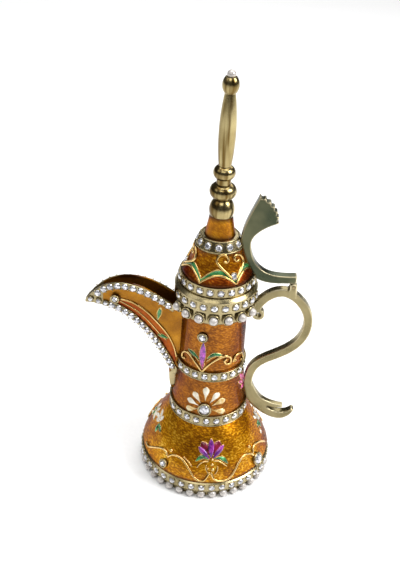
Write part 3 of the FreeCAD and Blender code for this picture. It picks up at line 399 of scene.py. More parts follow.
def stone_finish(name, grain, drift, colours, metal, gloss, coat):
    """A stone that drifts between two colours; gloss is its roughness and how far that drifts too,
    coat the weight and the roughness of its coat."""
    finish = Finish(name)
    # on a crystal the drift is painted sparkle, darker and paler stones; on a pearl it is uneven warmth
    tone_and_painted_sparkle = finish.step(finish.noise(*grain), *drift)
    return finish.shade({
        "Base Color": finish.blend(tone_and_painted_sparkle, *colours),
        "Metallic": metal,
        "Roughness": gloss[0] + tone_and_painted_sparkle * gloss[1],
        "Coat Weight": coat[0],
        "Coat Roughness": coat[1],
    })


# painted sparkle: the crystals drift from dark to pale grey
crystal = stone_finish("foiled_crystal", (1.1 * MM, 1.0), (0.35, 0.65),
                       [(0.34, 0.34, 0.37), (0.86, 0.86, 0.90)], 0.65, gloss=(0.05, 0.06), coat=(1.0, 0.02))
pearl = stone_finish("pearl_lustre", (5 * MM, 2.0), (0.3, 0.7),
                     [(0.48, 0.43, 0.39), (0.64, 0.61, 0.58)], 0.25, gloss=(0.2, 0.08), coat=(0.9, 0.05))
print("stones: 2 finishes")

# %% [markdown]
# ## The floor and the light
# The pot stands on a white sheet under soft, even light, mostly from above and the right. Polished metal
# only shows what surrounds it, so the room is dark grey and the softboxes are large: they become the bright
# shapes in the gold and the glass. A view past the sheet meets a pale backdrop instead of that room: the
# Light Path node tells a look from a reflection.

# %% Floor and light
FLOOR_SIDE = 5.0
FIBRE_GRAIN = 2.0 * MM
FIBRE_STEP = (0.2, 0.8)
DULL_WHITE = (0.90, 0.90, 0.90)
WHITE = (0.93, 0.93, 0.93)
ROOM_GREY = (0.10, 0.10, 0.10)
BACKDROP_GREY = (0.55, 0.55, 0.55)


def paper_white():
    finish = Finish("paper_white")
    fibre = finish.noise(FIBRE_GRAIN)
    return finish.shade({
        "Base Color": finish.blend(finish.step(fibre, *FIBRE_STEP), DULL_WHITE, WHITE),
        "Roughness": 0.85 + fibre * 0.1,
    })


def softbox(name, place, aim, width, height, watts):
    data = bpy.data.lights.new(name, "AREA")
    data.shape = "RECTANGLE"
    data.size = width
    data.size_y = height
    data.energy = watts
    lamp = placed(name, data)
    lamp.location = place
    lamp.rotation_euler = (Vector(aim) - Vector(place)).to_track_quat("-Z", "Y").to_euler()


half = FLOOR_SIDE / 2
floor_mesh = bpy.data.meshes.new("floor")
floor_corners = [(-half, -half, 0), (half, -half, 0), (half, half, 0), (-half, half, 0)]
floor_mesh.from_pydata(floor_corners, [], [(0, 1, 2, 3)])
floor_mesh.materials.append(paper_white())
floor = placed("floor", floor_mesh)

softbox("sky_panel", (0, 0.5, 3.0), (0, 0.5, 0), 3.0, 3.0, 100.0)
softbox("key_softbox", (0.56, -0.14, 0.56), (0, 0, 0.06), 0.36, 0.36, 4.8)
softbox("left_softbox", (-0.9, -0.30, 0.9), (0, 0, 0.07), 0.6, 0.6, 1.6)
softbox("front_softbox", (-0.15, -0.75, 0.95), (0, 0, 0.05), 0.7, 0.35, 2.4)
softbox("back_softbox", (0.25, 0.60, 0.55), (0, 0, 0.08), 0.5, 0.2, 1.2)
room = Finish("room", bpy.data.worlds, "Background")
looked_at = room.node("ShaderNodeLightPath", output="Is Camera Ray")
bpy.context.scene.world = room.shade({"Color": room.blend(looked_at, ROOM_GREY, BACKDROP_GREY)})
bpy.context.scene.view_settings.view_transform = "Standard"
print("softboxes: 5")

# %% [markdown]
# ## Collecting a mesh
# Hundreds of stones, wires and petals as separate objects would be slow to handle. Blender's curves and
# modifiers could make them, but it is simpler to collect corners and faces in one list and make one object
# for each kind of piece. Five shapes are enough: a grid, a tube, a turned ring, a ball and a bar.

# %% Pieces
WIRE_SIDES = 8
WIRE_FLATTEN = 0.85
WIRE_END = 0.45
QUARTER_TURN = Matrix.Rotation(pi / 2, 4, "Z")


def angles(count, shift=0):
    """Equal angles round a whole turn; shift is where they start, in steps."""
    return [2 * pi * (step + shift) / count for step in range(count)]


def polar(radius, angle, height=0):
    return Vector((radius * cos(angle), radius * sin(angle), height))


class Piece:
    """Corners and faces of one piece of the visual model."""

    def __init__(self):
        self.corners = []
        self.faces = []

    def add(self, corners, faces):
        start = len(self.corners)
        self.corners.extend(corners)
        self.faces.extend([[start + index for index in face] for face in faces])

    def grid(self, rows, loop_rows=False, loop_columns=False):
        """Rows of corners joined by quads."""
        wide, tall = len(rows[0]), len(rows)
        faces = []
        for row in range(tall if loop_rows else tall - 1):
            for column in range(wide if loop_columns else wide - 1):
                after, beside = (row + 1) % tall, (column + 1) % wide
                faces.append((row * wide + column, row * wide + beside,
                              after * wide + beside, after * wide + column))
        self.add([corner for line in rows for corner in line], faces)

    def tube(self, line, radius, loop=False):
        """A wire along (point, normal) pairs, lying on what carries it."""
        rows = []
        last = len(line) - 1
        for index, (point, normal) in enumerate(line):
            behind = line[index - 1][0] if index or loop else point
            ahead = line[(index + 1) % len(line)][0] if index < last or loop else point
            along = (ahead - behind).normalized()
            side = along.cross(normal).normalized()
            out = side.cross(along)
            thin = 1.0 if loop or 0 < index < last else WIRE_END
            rows.append([
                point + (side * cos(angle) + out * (sin(angle) * WIRE_FLATTEN)) * (radius * thin)
                for angle in angles(WIRE_SIDES)])
        if loop:
            self.grid(rows, loop_rows=True, loop_columns=True)
        else:
            self.bar(rows)

    def turned(self, profile, place, sides, loop=False):
        """A ring or cap turned about the Z axis of a place from (radius, height) corners."""
        rows = [[place @ polar(r, angle, h) for r, h in profile] for angle in angles(sides)]
        self.grid(rows, loop_rows=True, loop_columns=loop)

    def ball(self, place, radius, sides=10):
        """A ball with its poles on the Z axis of a place."""
        shape = bmesh.new()
        bmesh.ops.create_uvsphere(shape, u_segments=sides, v_segments=sides // 2, radius=radius,
                                  matrix=place @ QUARTER_TURN)
        shape.verts.index_update()
        self.add([corner.co.copy() for corner in shape.verts],
                 [[corner.index for corner in face.verts] for face in shape.faces])
        shape.free()

    def bar(self, sections):
        """Closed sections joined along their row, with both ends capped."""
        self.grid(sections, loop_columns=True)
        count, wide = len(self.corners), len(sections[0])
        self.faces.append([count - wide + step for step in range(wide)])
        self.faces.append([count - wide * len(sections) + wide - 1 - step for step in range(wide)])

    def made(self, name, body, slot, material, smooth=True, stands_for=()):
        """The object, riding on its body."""
        mesh = bpy.data.meshes.new(name)
        mesh.from_pydata(self.corners, [], self.faces)
        shape = bmesh.new()
        shape.from_mesh(mesh)
        bmesh.ops.recalc_face_normals(shape, faces=shape.faces)
        shape.to_mesh(mesh)
        shape.free()
        mesh.materials.append(material)
        mesh.polygons.foreach_set("use_smooth", [smooth] * len(mesh.polygons))
        thing = placed(name, mesh)
        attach(thing, body)
        if stands_for:
            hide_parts(*stands_for)
        print(name, len(mesh.polygons), "faces")


print("shapes: 5")

# %% [markdown]
# ## Finding the stones in the frame
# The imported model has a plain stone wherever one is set. Their places could be worked out again from the
# bands, but then two lists would have to agree. Instead each solid of a node is picked out of its mesh: the
# lowest corner number spreads along the edges to the whole solid. A round stone faces where it is thinnest.

# %% Seats of the stones


def solids_of(node_name):
    """The corners of each separate solid of a node."""
    mesh = nodes[node_name].data
    places = np.round(np.array([corner.co for corner in mesh.vertices]), 6)
    places, index = np.unique(places, axis=0, return_inverse=True)
    start, end = index.ravel()[np.array([edge.vertices for edge in mesh.edges])].T
    label, last = np.arange(len(places)), None
    while last is None or (label != last).any():
        last = label.copy()
        np.minimum.at(label, start, last[end])
        np.minimum.at(label, end, last[start])
    return [places[label == leader] for leader in np.unique(label)]


def seat_of(corners):
    """The middle of a round stone's back, the way that it faces, its radius and its height."""
    middle = corners.mean(axis=0)
    facing = np.linalg.eigh(np.cov((corners - middle).T))[1][:, 0]
    height = (corners - middle) @ facing
    reach = np.linalg.norm(corners - middle - np.outer(height, facing), axis=1)
    if np.corrcoef(height, reach)[0, 1] > 0:
        facing, height = -facing, -height
    back = middle + facing * height.min()
    return Vector(back), Vector(facing), float(reach.max()), float(np.ptp(height))


def set_square(point, facing):
    """A place whose Z axis faces out and whose X axis is level."""
    level = Vector((0, 0, 1)).cross(facing).normalized()
    rotation = Matrix((level, facing.cross(level), facing)).transposed().to_4x4()
    return Matrix.Translation(point) @ rotation


print("a band's stones:", len(solids_of("waist_crystals")))

# %% [markdown]
# ## Brilliants in grain settings
# A brilliant has a flat table, eight kite facets, and small triangles that fill in towards the girdle. Four
# grains of metal hold each small stone, and all but those along the spout sit in a low collet. The facets
# stay flat, so that each catches another part of the room, while collets and grains are smooth.

# %% Small crystals
GIRDLE_SHARE = 0.46
FACETS = 8
TABLE_SHARE = 0.56
KITE_SHARE = 0.82
KITE_RISE = 0.62
GRAINS = 4
GRAIN_RADIUS = 0.30 * MM
GRAIN_REACH = 1.12
GRAIN_RISE = 0.22 * MM
COLLET = [(1.2, -0.4), (1.17, 0.14), (1.08, 0.28), (0.97, 0.2), (0.93, -0.3)]


def brilliant(piece, place, radius, crown):
    """A brilliant cut: a table, stars, kites and girdle facets, with a cone below."""

    def ring(count, share, height, shift):
        return [place @ polar(radius * share, angle, height) for angle in angles(count, shift)]

    corners = ring(FACETS, TABLE_SHARE, crown, 0) + ring(FACETS, KITE_SHARE, crown * KITE_RISE, 0.5)
    corners += ring(2 * FACETS, 1.0, 0, 0)
    point = len(corners)
    corners.append(place @ Vector((0, 0, -crown)))
    faces = [list(range(FACETS))]
    for step in range(FACETS):
        after, kite, kite_before = (step + 1) % FACETS, FACETS + step, FACETS + (step - 1) % FACETS
        first, second, third = (2 * FACETS + (2 * step + more) % (2 * FACETS) for more in range(3))
        faces += [[step, kite, after], [step, kite_before, first, kite], [kite, first, second],
                  [kite, second, third], [second, first, point], [third, second, point]]
    piece.add(corners, faces)


def collet_ring(piece, place, radius, outline, sides):
    """A ring round a stone; its outline is in shares of the stone's radius and in millimetres of height."""
    piece.turned([(radius * share, height * MM) for share, height in outline], place, sides, loop=True)


def grain_setting(piece, place, radius, collet=True):
    """Four grains round a stone, and a low collet where there is room for one."""
    if collet:
        collet_ring(piece, place, radius, COLLET, sides=20)
    for angle in angles(GRAINS, shift=0.5):
        spot = polar(radius * GRAIN_REACH, angle, GRAIN_RISE)
        piece.ball(place @ Matrix.Translation(spot), GRAIN_RADIUS, sides=8)


def set_stones(name, body, seats, stands_for=(), collet=True):
    """Small brilliants in grain settings, from the place, radius and crown of each."""
    stones, settings = Piece(), Piece()
    for place, radius, crown in seats:
        brilliant(stones, place, radius, crown)
        grain_setting(settings, place, radius, collet)
    stones.made(name + "_brilliants", body, "crystal", crystal, smooth=False, stands_for=stands_for)
    settings.made(name + "_settings", body, "cast_gold", cast_gold)


for row in ("foot", "waist", "mid", "collar", "spout_rim", "spout_keel", "lid_rim", "lid_upper"):
    seats = []
    for corners in solids_of(row + "_crystals"):
        back, facing, radius, height = seat_of(corners)
        girdle = set_square(back + facing * height * GIRDLE_SHARE, facing)
        seats.append((girdle, radius, height * (1 - GIRDLE_SHARE)))
    body = "lid" if row.startswith("lid") else "pot"
    set_stones(row, body, seats, stands_for=(row + "_crystals",), collet="spout" not in row)

# %% [markdown]
# ## Large stones and pearls
# Larger brilliants stand in tall bezels with a rolled rim: small ones on the spout and the upper neck, the
# largest low on the pot. The pearls of the collar lie in collets, those of the foot in a groove. A pearl is a
# slightly flattened ball, finer than the frame's, so that its highlight is round.

# %% Large stones and pearls
BEZEL_WALL = 0.6 * MM
SPOUT_STONE_SHARE = 0.72
NECK_STONE_SHARE = 0.85
LOW_STONE_SHARE = 1.28
mid_band_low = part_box("mid_band")[0].z
spout_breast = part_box("neck_shell")[0].x
bezels, large_brilliants = Piece(), Piece()
for corners in solids_of("large_stones"):
    back, facing, radius, height = seat_of(corners)
    if back.x < spout_breast:
        radius *= SPOUT_STONE_SHARE
    else:
        radius *= LOW_STONE_SHARE if back.z < mid_band_low else NECK_STONE_SHARE
    girdle = set_square(back + facing * BEZEL_WALL, facing)
    brilliant(large_brilliants, girdle, radius, height - BEZEL_WALL)
    outer = radius + BEZEL_WALL
    bezels.turned([(outer * 1.04, -1.4 * MM), (outer, -0.2 * MM), (outer + 0.1 * MM, 0.25 * MM),
                   (outer - 0.15 * MM, 0.5 * MM), (radius + 0.05 * MM, 0.42 * MM),
                   (radius * 0.95, 0.16 * MM), (radius * 0.95, -0.5 * MM)], girdle, sides=32, loop=True)
large_brilliants.made("large_brilliants", "pot", "crystal", crystal, smooth=False,
                      stands_for=("large_stones",))
bezels.made("rolled_bezels", "pot", "cast_gold", cast_gold, stands_for=("stone_bezels",))

PEARL_FLATTEN = Matrix.Diagonal((1, 1, 0.95, 1))
PEARL_COLLET = [(1.5, -1.9), (1.5, -0.7), (1.42, -0.3), (1.26, -0.18), (1.08, -0.45), (0.8, -1.5)]
NEARLY_UP = Vector((0.02, 0, 1)).normalized()
collets = Piece()
for row, body in (("foot_pearls", "pot"), ("collar_pearls", "pot"), ("tip_pearl", "lid")):
    pearls = Piece()
    for corners in solids_of(row):
        low, high = corners.min(axis=0), corners.max(axis=0)
        centre, radius = Vector((low + high) / 2), float((high - low).max() / 2)
        outwards = Vector((centre.x, centre.y, 0))
        seat = set_square(centre, outwards.normalized() if outwards.length > MM else NEARLY_UP)
        pearls.ball(seat @ PEARL_FLATTEN, radius, sides=28)
        if row == "collar_pearls":
            collet_ring(collets, seat, radius, PEARL_COLLET, sides=28)
    pearls.made("polished_" + row, body, "pearl", pearl, stands_for=(row,))
collets.made("pearl_collets", "pot", "cast_gold", cast_gold, stands_for=("collar_pearl_cups",))

# %% [markdown]
# ## From a pixel to the pot
# Every wire and petal lies on a shell. To place them, a ray from the camera through a pixel of the photograph
# is followed until it meets the shell: that gives a point and the way the shell faces there. The ornament is
# then turned or mirrored to the other sides of the pot.

# %% Rays
DROP = 4 * MM


@functools.cache
def tree_of(node_name):
    mesh = nodes[node_name].data
    return BVHTree.FromPolygons([corner.co for corner in mesh.vertices],
                                [face.vertices for face in mesh.polygons])


def met(node_name, start, ray):
    """Where a ray meets a node and the way the node faces it there, or None."""
    point, normal = tree_of(node_name).ray_cast(start, ray)[:2]
    if point is None:
        return None
    return point, normal if normal.dot(ray) < 0 else -normal


def seen(node_name, pixel):
    """The point and facing of a node that a pixel of the photograph shows."""
    right = (pixel[0] - PHOTO_WIDTH / 2) / FOCAL_PIXELS
    down = (pixel[1] - PHOTO_HEIGHT / 2) / FOCAL_PIXELS
    ray = (camera_right * right - camera_up * down - camera_back).normalized()
    return met(node_name, CAMERA_PLACE, ray)


def dropped(node_name, point, facing):
    """The same for a point that drops on a node against the way that it faces."""
    return met(node_name, point + facing * DROP, -facing)


def smooth_line(points, steps):
    """Points of a smooth curve through the given ones (Catmull-Rom)."""
    points = [Vector(point) for point in points]
    line = []
    for index in range(len(points) - 1):
        before = points[max(index - 1, 0)]
        start, end = points[index], points[index + 1]
        after = points[min(index + 2, len(points) - 1)]
        for step in range(steps):
            t = step / steps
            line.append(0.5 * (2 * start + (end - before) * t
                               + (2 * before - 5 * start + 4 * end - after) * t ** 2
                               + (3 * start - before - 3 * end + after) * t ** 3))
    line.append(points[-1])
    return line


def traced(node_name, pixels, steps=6):
    """A smooth line of pixels as (point, normal) pairs on a node."""
    return [seen(node_name, pixel) for pixel in smooth_line(pixels, steps)]


def turns_round(count):
    """The turns that put an ornament at a number of places round the axis."""
    return [Matrix.Rotation(angle, 4, "Z") for angle in angles(count)]


MIRROR = Matrix.Diagonal((1, -1, 1, 1))
print("middle of the belly:", [round(x / MM, 1) for x in seen("belly_shell", (210, 455))[0]])

# %% [markdown]
# ## Wires, petals and leaves
# Gold wire is drawn round, then soldered down, so a wire here is a slightly flattened tube with its foot in
# the shell. A petal is a pillow of enamel: it is widest somewhere along its length, it bulges in the middle,
# and a finer wire runs round its edge to hold the glass in.

# %% Ornament tools
PETAL_ROWS = 14
PETAL_COLUMNS = 6
PETAL_ROOT = 0.2 * MM
PETAL_TIP = 0.03 * MM
PETAL_END = 0.06
BLUNT_SIDES = 0.8
BLUNT_BULGE = 0.6
WIRE = 0.52 * MM
WIRE_SINK = 0.1
RIM_SINK = 0.6
STAND_SHARE = 0.8


class Ornament:
    """Wires and enamel cells laid on one node, and copied to other sides of the pot."""

    def __init__(self, node_name, copies):
        self.node_name = node_name
        self.copies = copies
        self.gold = Piece()
        self.cells = {}

    def copied(self, line):
        for place in self.copies:
            turn = place.to_3x3()
            yield [(place @ point, (turn @ normal).normalized()) for point, normal in line]

    def wires(self, radius, *lines):
        """Wires of one radius, each through pixels of the photograph."""
        for pixels in lines:
            self.wire_on(traced(self.node_name, pixels), radius)

    def wire_on(self, line, radius, loop=False, sink=WIRE_SINK):
        line = [(point + normal * radius * (1 - sink) * STAND_SHARE, normal) for point, normal in line]
        for copy in self.copied(line):
            self.gold.tube(copy, radius, loop)

    def bead(self, pixel, radius):
        point, normal = seen(self.node_name, pixel)
        for copy in self.copied([(point + normal * radius / 2, normal)]):
            self.gold.ball(Matrix.Translation(copy[0][0]), radius)

    def petals(self, material, width, pairs, **form):
        """Petals of one form, each between two pixels."""
        for base, tip in pairs:
            self.petal(material, base, tip, width, **form)

    def petal(self, material, base, tip, width, swell=0.6, bulge=0.55 * MM, bend=0.0, rim=0.17 * MM,
              lift=0.1 * MM):
        """An enamel petal between two pixels; swell is where it is widest, bend arches it sideways."""
        start, facing = seen(self.node_name, base)
        end = seen(self.node_name, tip)[0]
        side = facing.cross(end - start).normalized()
        skew = log(0.5) / log(swell)
        sections, left_edge, right_edge = [], [], []
        for step in range(PETAL_ROWS + 1):
            t = step / PETAL_ROWS
            middle = start.lerp(end, t) + side * (bend * sin(pi * t))
            half = width / 2 * sin(pi * t ** skew) ** BLUNT_SIDES + PETAL_TIP
            fullness = sin(pi * min(max(t, PETAL_END), 1 - PETAL_END)) ** BLUNT_BULGE
            section = []
            for column in range(PETAL_COLUMNS + 1):
                s = 2 * column / PETAL_COLUMNS - 1
                point = middle + side * s * half
                spot, normal = dropped(self.node_name, point, facing) or (point, facing)
                section.append((spot, normal, spot + normal * (lift + bulge * (1 - s * s) * fullness)))
            left_edge.append(section[0][:2])
            right_edge.append(section[-1][:2])
            under = [section[end][0] - section[end][1] * PETAL_ROOT for end in (-1, 0)]
            sections.append([top for spot, normal, top in section] + under)
        self.cell(material, sections)
        self.wire_on(left_edge + right_edge[::-1], rim, loop=True, sink=RIM_SINK)

    def cell(self, material, sections):
        """A bar of enamel on each side of the pot that has one."""
        piece = self.cells.setdefault(material.name, (material, Piece()))[1]
        for place in self.copies:
            piece.bar([[place @ point for point in section] for section in sections])

    def made(self, name, body):
        self.gold.made(name + "_wires", body, "cast_gold", wire_gold)
        for material, piece in self.cells.values():
            piece.made(name + "_" + material.name, body, "amber_enamel", material)


print("ornament tools ready")

# %% [markdown]
# ## The belly: lotus and waves
# A lotus stands at the middle of the front, with two leaves and a string of gold beads. From under it two
# wires swing down to the foot and up to the large stones, then on round the sides, below two white flowers.
# The back has the same picture, turned by half a turn.

# %% Belly ornament
belly = Ornament("belly_shell", turns_round(2))
belly.wires(
    WIRE,
    [(209.6, 472), (203.5, 480.2), (195.4, 478.2), (189.3, 469), (183.4, 460), (177.5, 455.7), (171.5, 454.8),
     (168.2, 457)],
    [(210.8, 472), (214, 478.8), (220.9, 480.3), (228.9, 477.6), (233.8, 471), (238.7, 461.3), (243.7, 455),
     (250, 453.4), (253.4, 455.5)],
    [(167.6, 455.5), (166.8, 451.6), (162.4, 448), (155, 447.2), (149.5, 446.4), (147, 441.5)],
    [(252.2, 453.2), (253, 445.5), (257.5, 441.8), (264, 441.2)])
belly.wires(
    0.34 * MM,
    [(183.6, 456.4), (187.5, 460.5), (192.4, 466.8)],
    [(208.5, 461.5), (204, 461.5), (199.5, 464), (196.8, 467.5)],
    [(214, 461), (218.5, 461), (223, 463.5), (227, 466)])
belly.wires(
    0.36 * MM,
    [(206.2, 464.8), (206.0, 469), (208.6, 473.5)],
    [(217.4, 465.8), (217.2, 470), (214.6, 474.2)])
for bead_pixel, bead_radius in (((212.4, 459.4), 0.6), ((212.2, 464.3), 0.75), ((212.6, 469.2), 0.9),
                                ((172, 450.2), 0.85), ((248.1, 446.3), 0.85), ((207.8, 468.2), 0.55)):
    belly.bead(bead_pixel, bead_radius * MM)
belly.petals(crimson_enamel, 3.4 * MM, [((209.8, 456), (201.8, 441.6)), ((213, 456), (219.4, 440.6))],
             swell=0.7, lift=0.05 * MM)
belly.petal(purple_enamel, (209.8, 459), (198.7, 446.4), 2.3 * MM, lift=0.3 * MM)
belly.petal(purple_enamel, (212.4, 459), (223.6, 444.6), 2.2 * MM, lift=0.3 * MM)
belly.petal(purple_enamel, (211, 458), (211.3, 438.4), 2.5 * MM, swell=0.55, lift=0.45 * MM)
belly.petal(green_enamel, (209.2, 460), (195.4, 461.2), 1.9 * MM, bend=-1.7 * MM)
belly.petal(green_enamel, (213.4, 459), (227.9, 463.6), 1.9 * MM, bend=1.5 * MM)
belly.petals(white_enamel, 1.7 * MM, [
    ((161, 420), (163.2, 409)), ((160.4, 421), (158.2, 412.5)), ((160, 421.5), (164, 416)),
    ((159.8, 422), (157, 418.5)), ((256.4, 417.5), (253.2, 411.5)), ((256.6, 418), (255.8, 412.8)),
    ((256.2, 418.5), (252.8, 416.4)), ((256.8, 419), (258.4, 416.8))], swell=0.65, rim=0.12 * MM)
belly.petal(white_enamel, (259.4, 428.4), (260.8, 433.4), 1.4 * MM)
for base, tip, leaf_width in (((159.6, 423), (155.4, 431.5), 1.9), ((159.8, 423), (160.4, 432), 1.7),
                              ((257, 420), (257.6, 427.5), 1.6), ((257.2, 420), (260.4, 426.6), 1.5)):
    belly.petal(green_enamel, base, tip, leaf_width * MM)
belly.made("belly", "pot")

# %% [markdown]
# ## The lower neck: daisy and bud
# A large stone is the eye of a half daisy: seven petals fan out above the waist, white in the middle and
# cream at the ends. A pink bud hides beside the handle. The other side has the same, mirrored.

# %% Lower neck ornament
DAISY_EYE = (204.5, 409)
EYE_SHARE = 0.36
DAISY_PETALS = {
    cream_enamel: [(186.3, 407.6), (224.9, 398.8), (224.9, 411.2)],
    white_enamel: [(187.8, 398), (193.8, 391.4), (206.6, 387), (219, 392.4)],
}
BOTH_SIDES = [Matrix.Identity(4), MIRROR]
lower_neck = Ornament("neck_shell", BOTH_SIDES)
for material, tips in DAISY_PETALS.items():
    pairs = [(Vector(DAISY_EYE).lerp(Vector(tip), EYE_SHARE), tip) for tip in tips]
    lower_neck.petals(material, 2.7 * MM, pairs, swell=0.74, bulge=0.65 * MM, lift=0.15 * MM)
lower_neck.petals(magenta_enamel, 2.0 * MM, [((243, 381), (238, 382)), ((242.6, 380), (239.2, 373.6)),
                                             ((242.6, 382), (240.4, 388.6)), ((243, 379), (242.2, 371.8))])
lower_neck.made("lower_neck", "pot")

# %% [markdown]
# ## The upper neck: bud and scrolls
# A purple bud stands under its own stone between two green leaves, in the V of two gold wires that run out
# into scrolls.

# %% Upper neck ornament
upper_neck = Ornament("neck_shell", BOTH_SIDES)
upper_neck.wires(
    WIRE,
    [(202.2, 371.6), (196.3, 362.6), (190.2, 353.9), (186.4, 351), (183.4, 352.4), (183.2, 356.4),
     (185.8, 357.6)],
    [(202.2, 371.6), (209.1, 364.2), (218.5, 358.2), (226.3, 355.6), (230.4, 358), (229.6, 362.6),
     (225.8, 363.4), (224.2, 360.6), (226.6, 359.2)],
    [(232.5, 362), (234.2, 356.8), (237.5, 353.4), (240.8, 352.8), (241.6, 356.8), (239.6, 359.4)])
upper_neck.wires(
    0.28 * MM,
    [(199.4, 361), (193.4, 353.6), (189.2, 350.4)],
    [(206.4, 361.4), (213.5, 356.6), (222.4, 356.2)])
upper_neck.petal(magenta_enamel, (202.2, 370.4), (202.2, 361), 2.0 * MM, swell=0.7, lift=0.05 * MM)
upper_neck.petal(purple_enamel, (201.6, 366), (203.6, 342.4), 2.7 * MM, swell=0.5, bulge=0.8 * MM,
                 lift=0.2 * MM)
upper_neck.petal(green_enamel, (199.6, 359), (188.2, 348.6), 2.0 * MM, bend=-0.4 * MM)
upper_neck.petal(green_enamel, (206.6, 358.8), (222.6, 354.8), 2.0 * MM, bend=1.3 * MM)
upper_neck.bead((234.6, 359.6), 0.7 * MM)
upper_neck.made("upper_neck", "pot")

# %% [markdown]
# ## The lid: hearts and a zig-zag
# Round the dome runs a green zig-zag with sharp dips and round tops, edged with wire, over cells of red
# enamel. Above every other dip two scrolls make a heart, with a small stone in its point. The zig-zag is a
# formula of the angle; the heart is traced once and turned by thirds.

# %% Lid ornament
DIP_ANGLE = radians(303)
ZIGZAG_TURNS = 6
DIP_HEIGHT = 103.3 * MM
TOP_HEIGHT = 106.9 * MM
GREEN_WIDTH = 2.1 * MM
GREEN_NECK = 0.65
ROUND_TOPS = 0.85
ZIGZAG_STEPS = 48
CELL_COLUMNS = 4
OUTSIDE = 40 * MM
dome_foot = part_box("lid_dome")[0].z + 0.05 * MM


def on_dome(angle, height, lift):
    """A point of the dome at an angle and a height, raised from it."""
    point, normal = met("lid_dome", polar(OUTSIDE, angle, height), polar(-1, angle))
    return point + normal * lift, normal


def zigzag(angle):
    return abs(sin(ZIGZAG_TURNS / 2 * (angle - DIP_ANGLE))) ** ROUND_TOPS


THIRDS = turns_round(3)
dome = Ornament("lid_dome", THIRDS)
lower_line, upper_line, red_sections, green_sections = [], [], [], []


def dome_section(angle, low, high, lift, bulge):
    """One section of an enamel cell between two heights of the dome."""
    section = []
    for column in range(CELL_COLUMNS + 1):
        share = column / CELL_COLUMNS
        raised = lift + bulge * sin(pi * share)
        section.append(on_dome(angle, low + (high - low) * share, raised)[0])
    return section + [on_dome(angle, high, -PETAL_ROOT)[0], on_dome(angle, low, -PETAL_ROOT)[0]]


for step in range(ZIGZAG_STEPS + 1):
    angle = DIP_ANGLE + 2 * pi / 3 * step / ZIGZAG_STEPS
    rise = zigzag(angle)
    low = DIP_HEIGHT + (TOP_HEIGHT - DIP_HEIGHT) * rise
    high = low + GREEN_WIDTH * (GREEN_NECK + (1 - GREEN_NECK) * rise)
    lower_line.append(on_dome(angle, low, 0))
    upper_line.append(on_dome(angle, high, 0))
    green_sections.append(dome_section(angle, low, high, lift=0.12 * MM, bulge=0.3 * MM))
    red_sections.append(dome_section(angle, dome_foot, low, lift=0.08 * MM, bulge=0.12 * MM))
dome.cell(green_enamel, green_sections)
dome.cell(red_enamel, red_sections)
dome.wire_on(lower_line, 0.46 * MM)
dome.wire_on(upper_line, 0.26 * MM)
dome.wires(
    0.54 * MM,
    [(232.4, 279.4), (227.5, 274.1), (221.1, 267.8), (217, 261.5), (219.2, 256), (224.4, 254.6), (228, 258.4),
     (226.6, 262.4), (223.6, 261.2)],
    [(234.8, 279.4), (238.4, 273.4), (241.4, 267.1), (242.2, 260.4), (239.4, 255), (235.4, 254.8),
     (233.8, 258.2), (236, 261), (238.4, 259.4)])
HEART_STONE = {"radius": 1.4 * MM, "crown": 0.75 * MM}
HEART_STONE_RISE = 0.45 * MM
heart_point, heart_facing = seen("lid_dome", (233.6, 276.4))
heart_seat = set_square(heart_point + heart_facing * HEART_STONE_RISE, heart_facing)
set_stones("heart", "lid", [(place @ heart_seat, *HEART_STONE.values()) for place in THIRDS])
dome.made("dome", "lid")

# %% [markdown]
# ## The spout: border straps and a stem
# Each flank of the beak is enamel inside a gold border that carries the stones. The border straps follow the
# rows of stones in the frame, and the lower one runs on down the keel. A stem of two wires runs from the large
# stone to the root, with two green leaves and a rust-red panel below it. Three more stones sit on the gilded
# tip.

# %% Spout ornament
STRAP_HALF = 1.6 * MM
STRAP_RISE = 0.5 * MM
STRAP_LEAD = 0.55
STRAP_SECTION = [(-1.0, -0.4), (-0.98, 0.7), (-0.8, 1.0), (0.8, 1.0), (0.98, 0.7), (1.0, -0.4)]
KEEL_STEP = 2.0 * MM
KEEL_MARGIN = 0.3 * MM
LINE_STEPS = 4
TIP_STONE = {"radius": 1.15 * MM, "crown": 0.6 * MM}
TIP_STONES = [(90.6, 298.4), (98.6, 300.4), (105.6, 302.4)]
PANEL_RISE = 0.12 * MM
PANEL_COLUMNS = 5
STEM = [(120, 298.2), (133.9, 302.7), (146.8, 311.3), (155.5, 319.9), (164.1, 329.4), (170.1, 338),
        (174.4, 347.5), (176.6, 357)]
PANEL_FOOT = [(114.5, 301.4), (127, 308), (139, 317.2), (149.6, 327.6), (160, 339), (165.5, 348.4),
              (171.8, 357.6), (174.6, 363)]


def strap(piece, line):
    """A flat strap with rounded edges along (point, normal) pairs."""
    rows = []
    for index, (point, normal) in enumerate(line):
        along = line[min(index + 1, len(line) - 1)][0] - line[max(index - 1, 0)][0]
        side = along.cross(normal).normalized()
        rows.append([point + side * STRAP_HALF * s + normal * STRAP_RISE * h for s, h in STRAP_SECTION])
    piece.bar(rows)


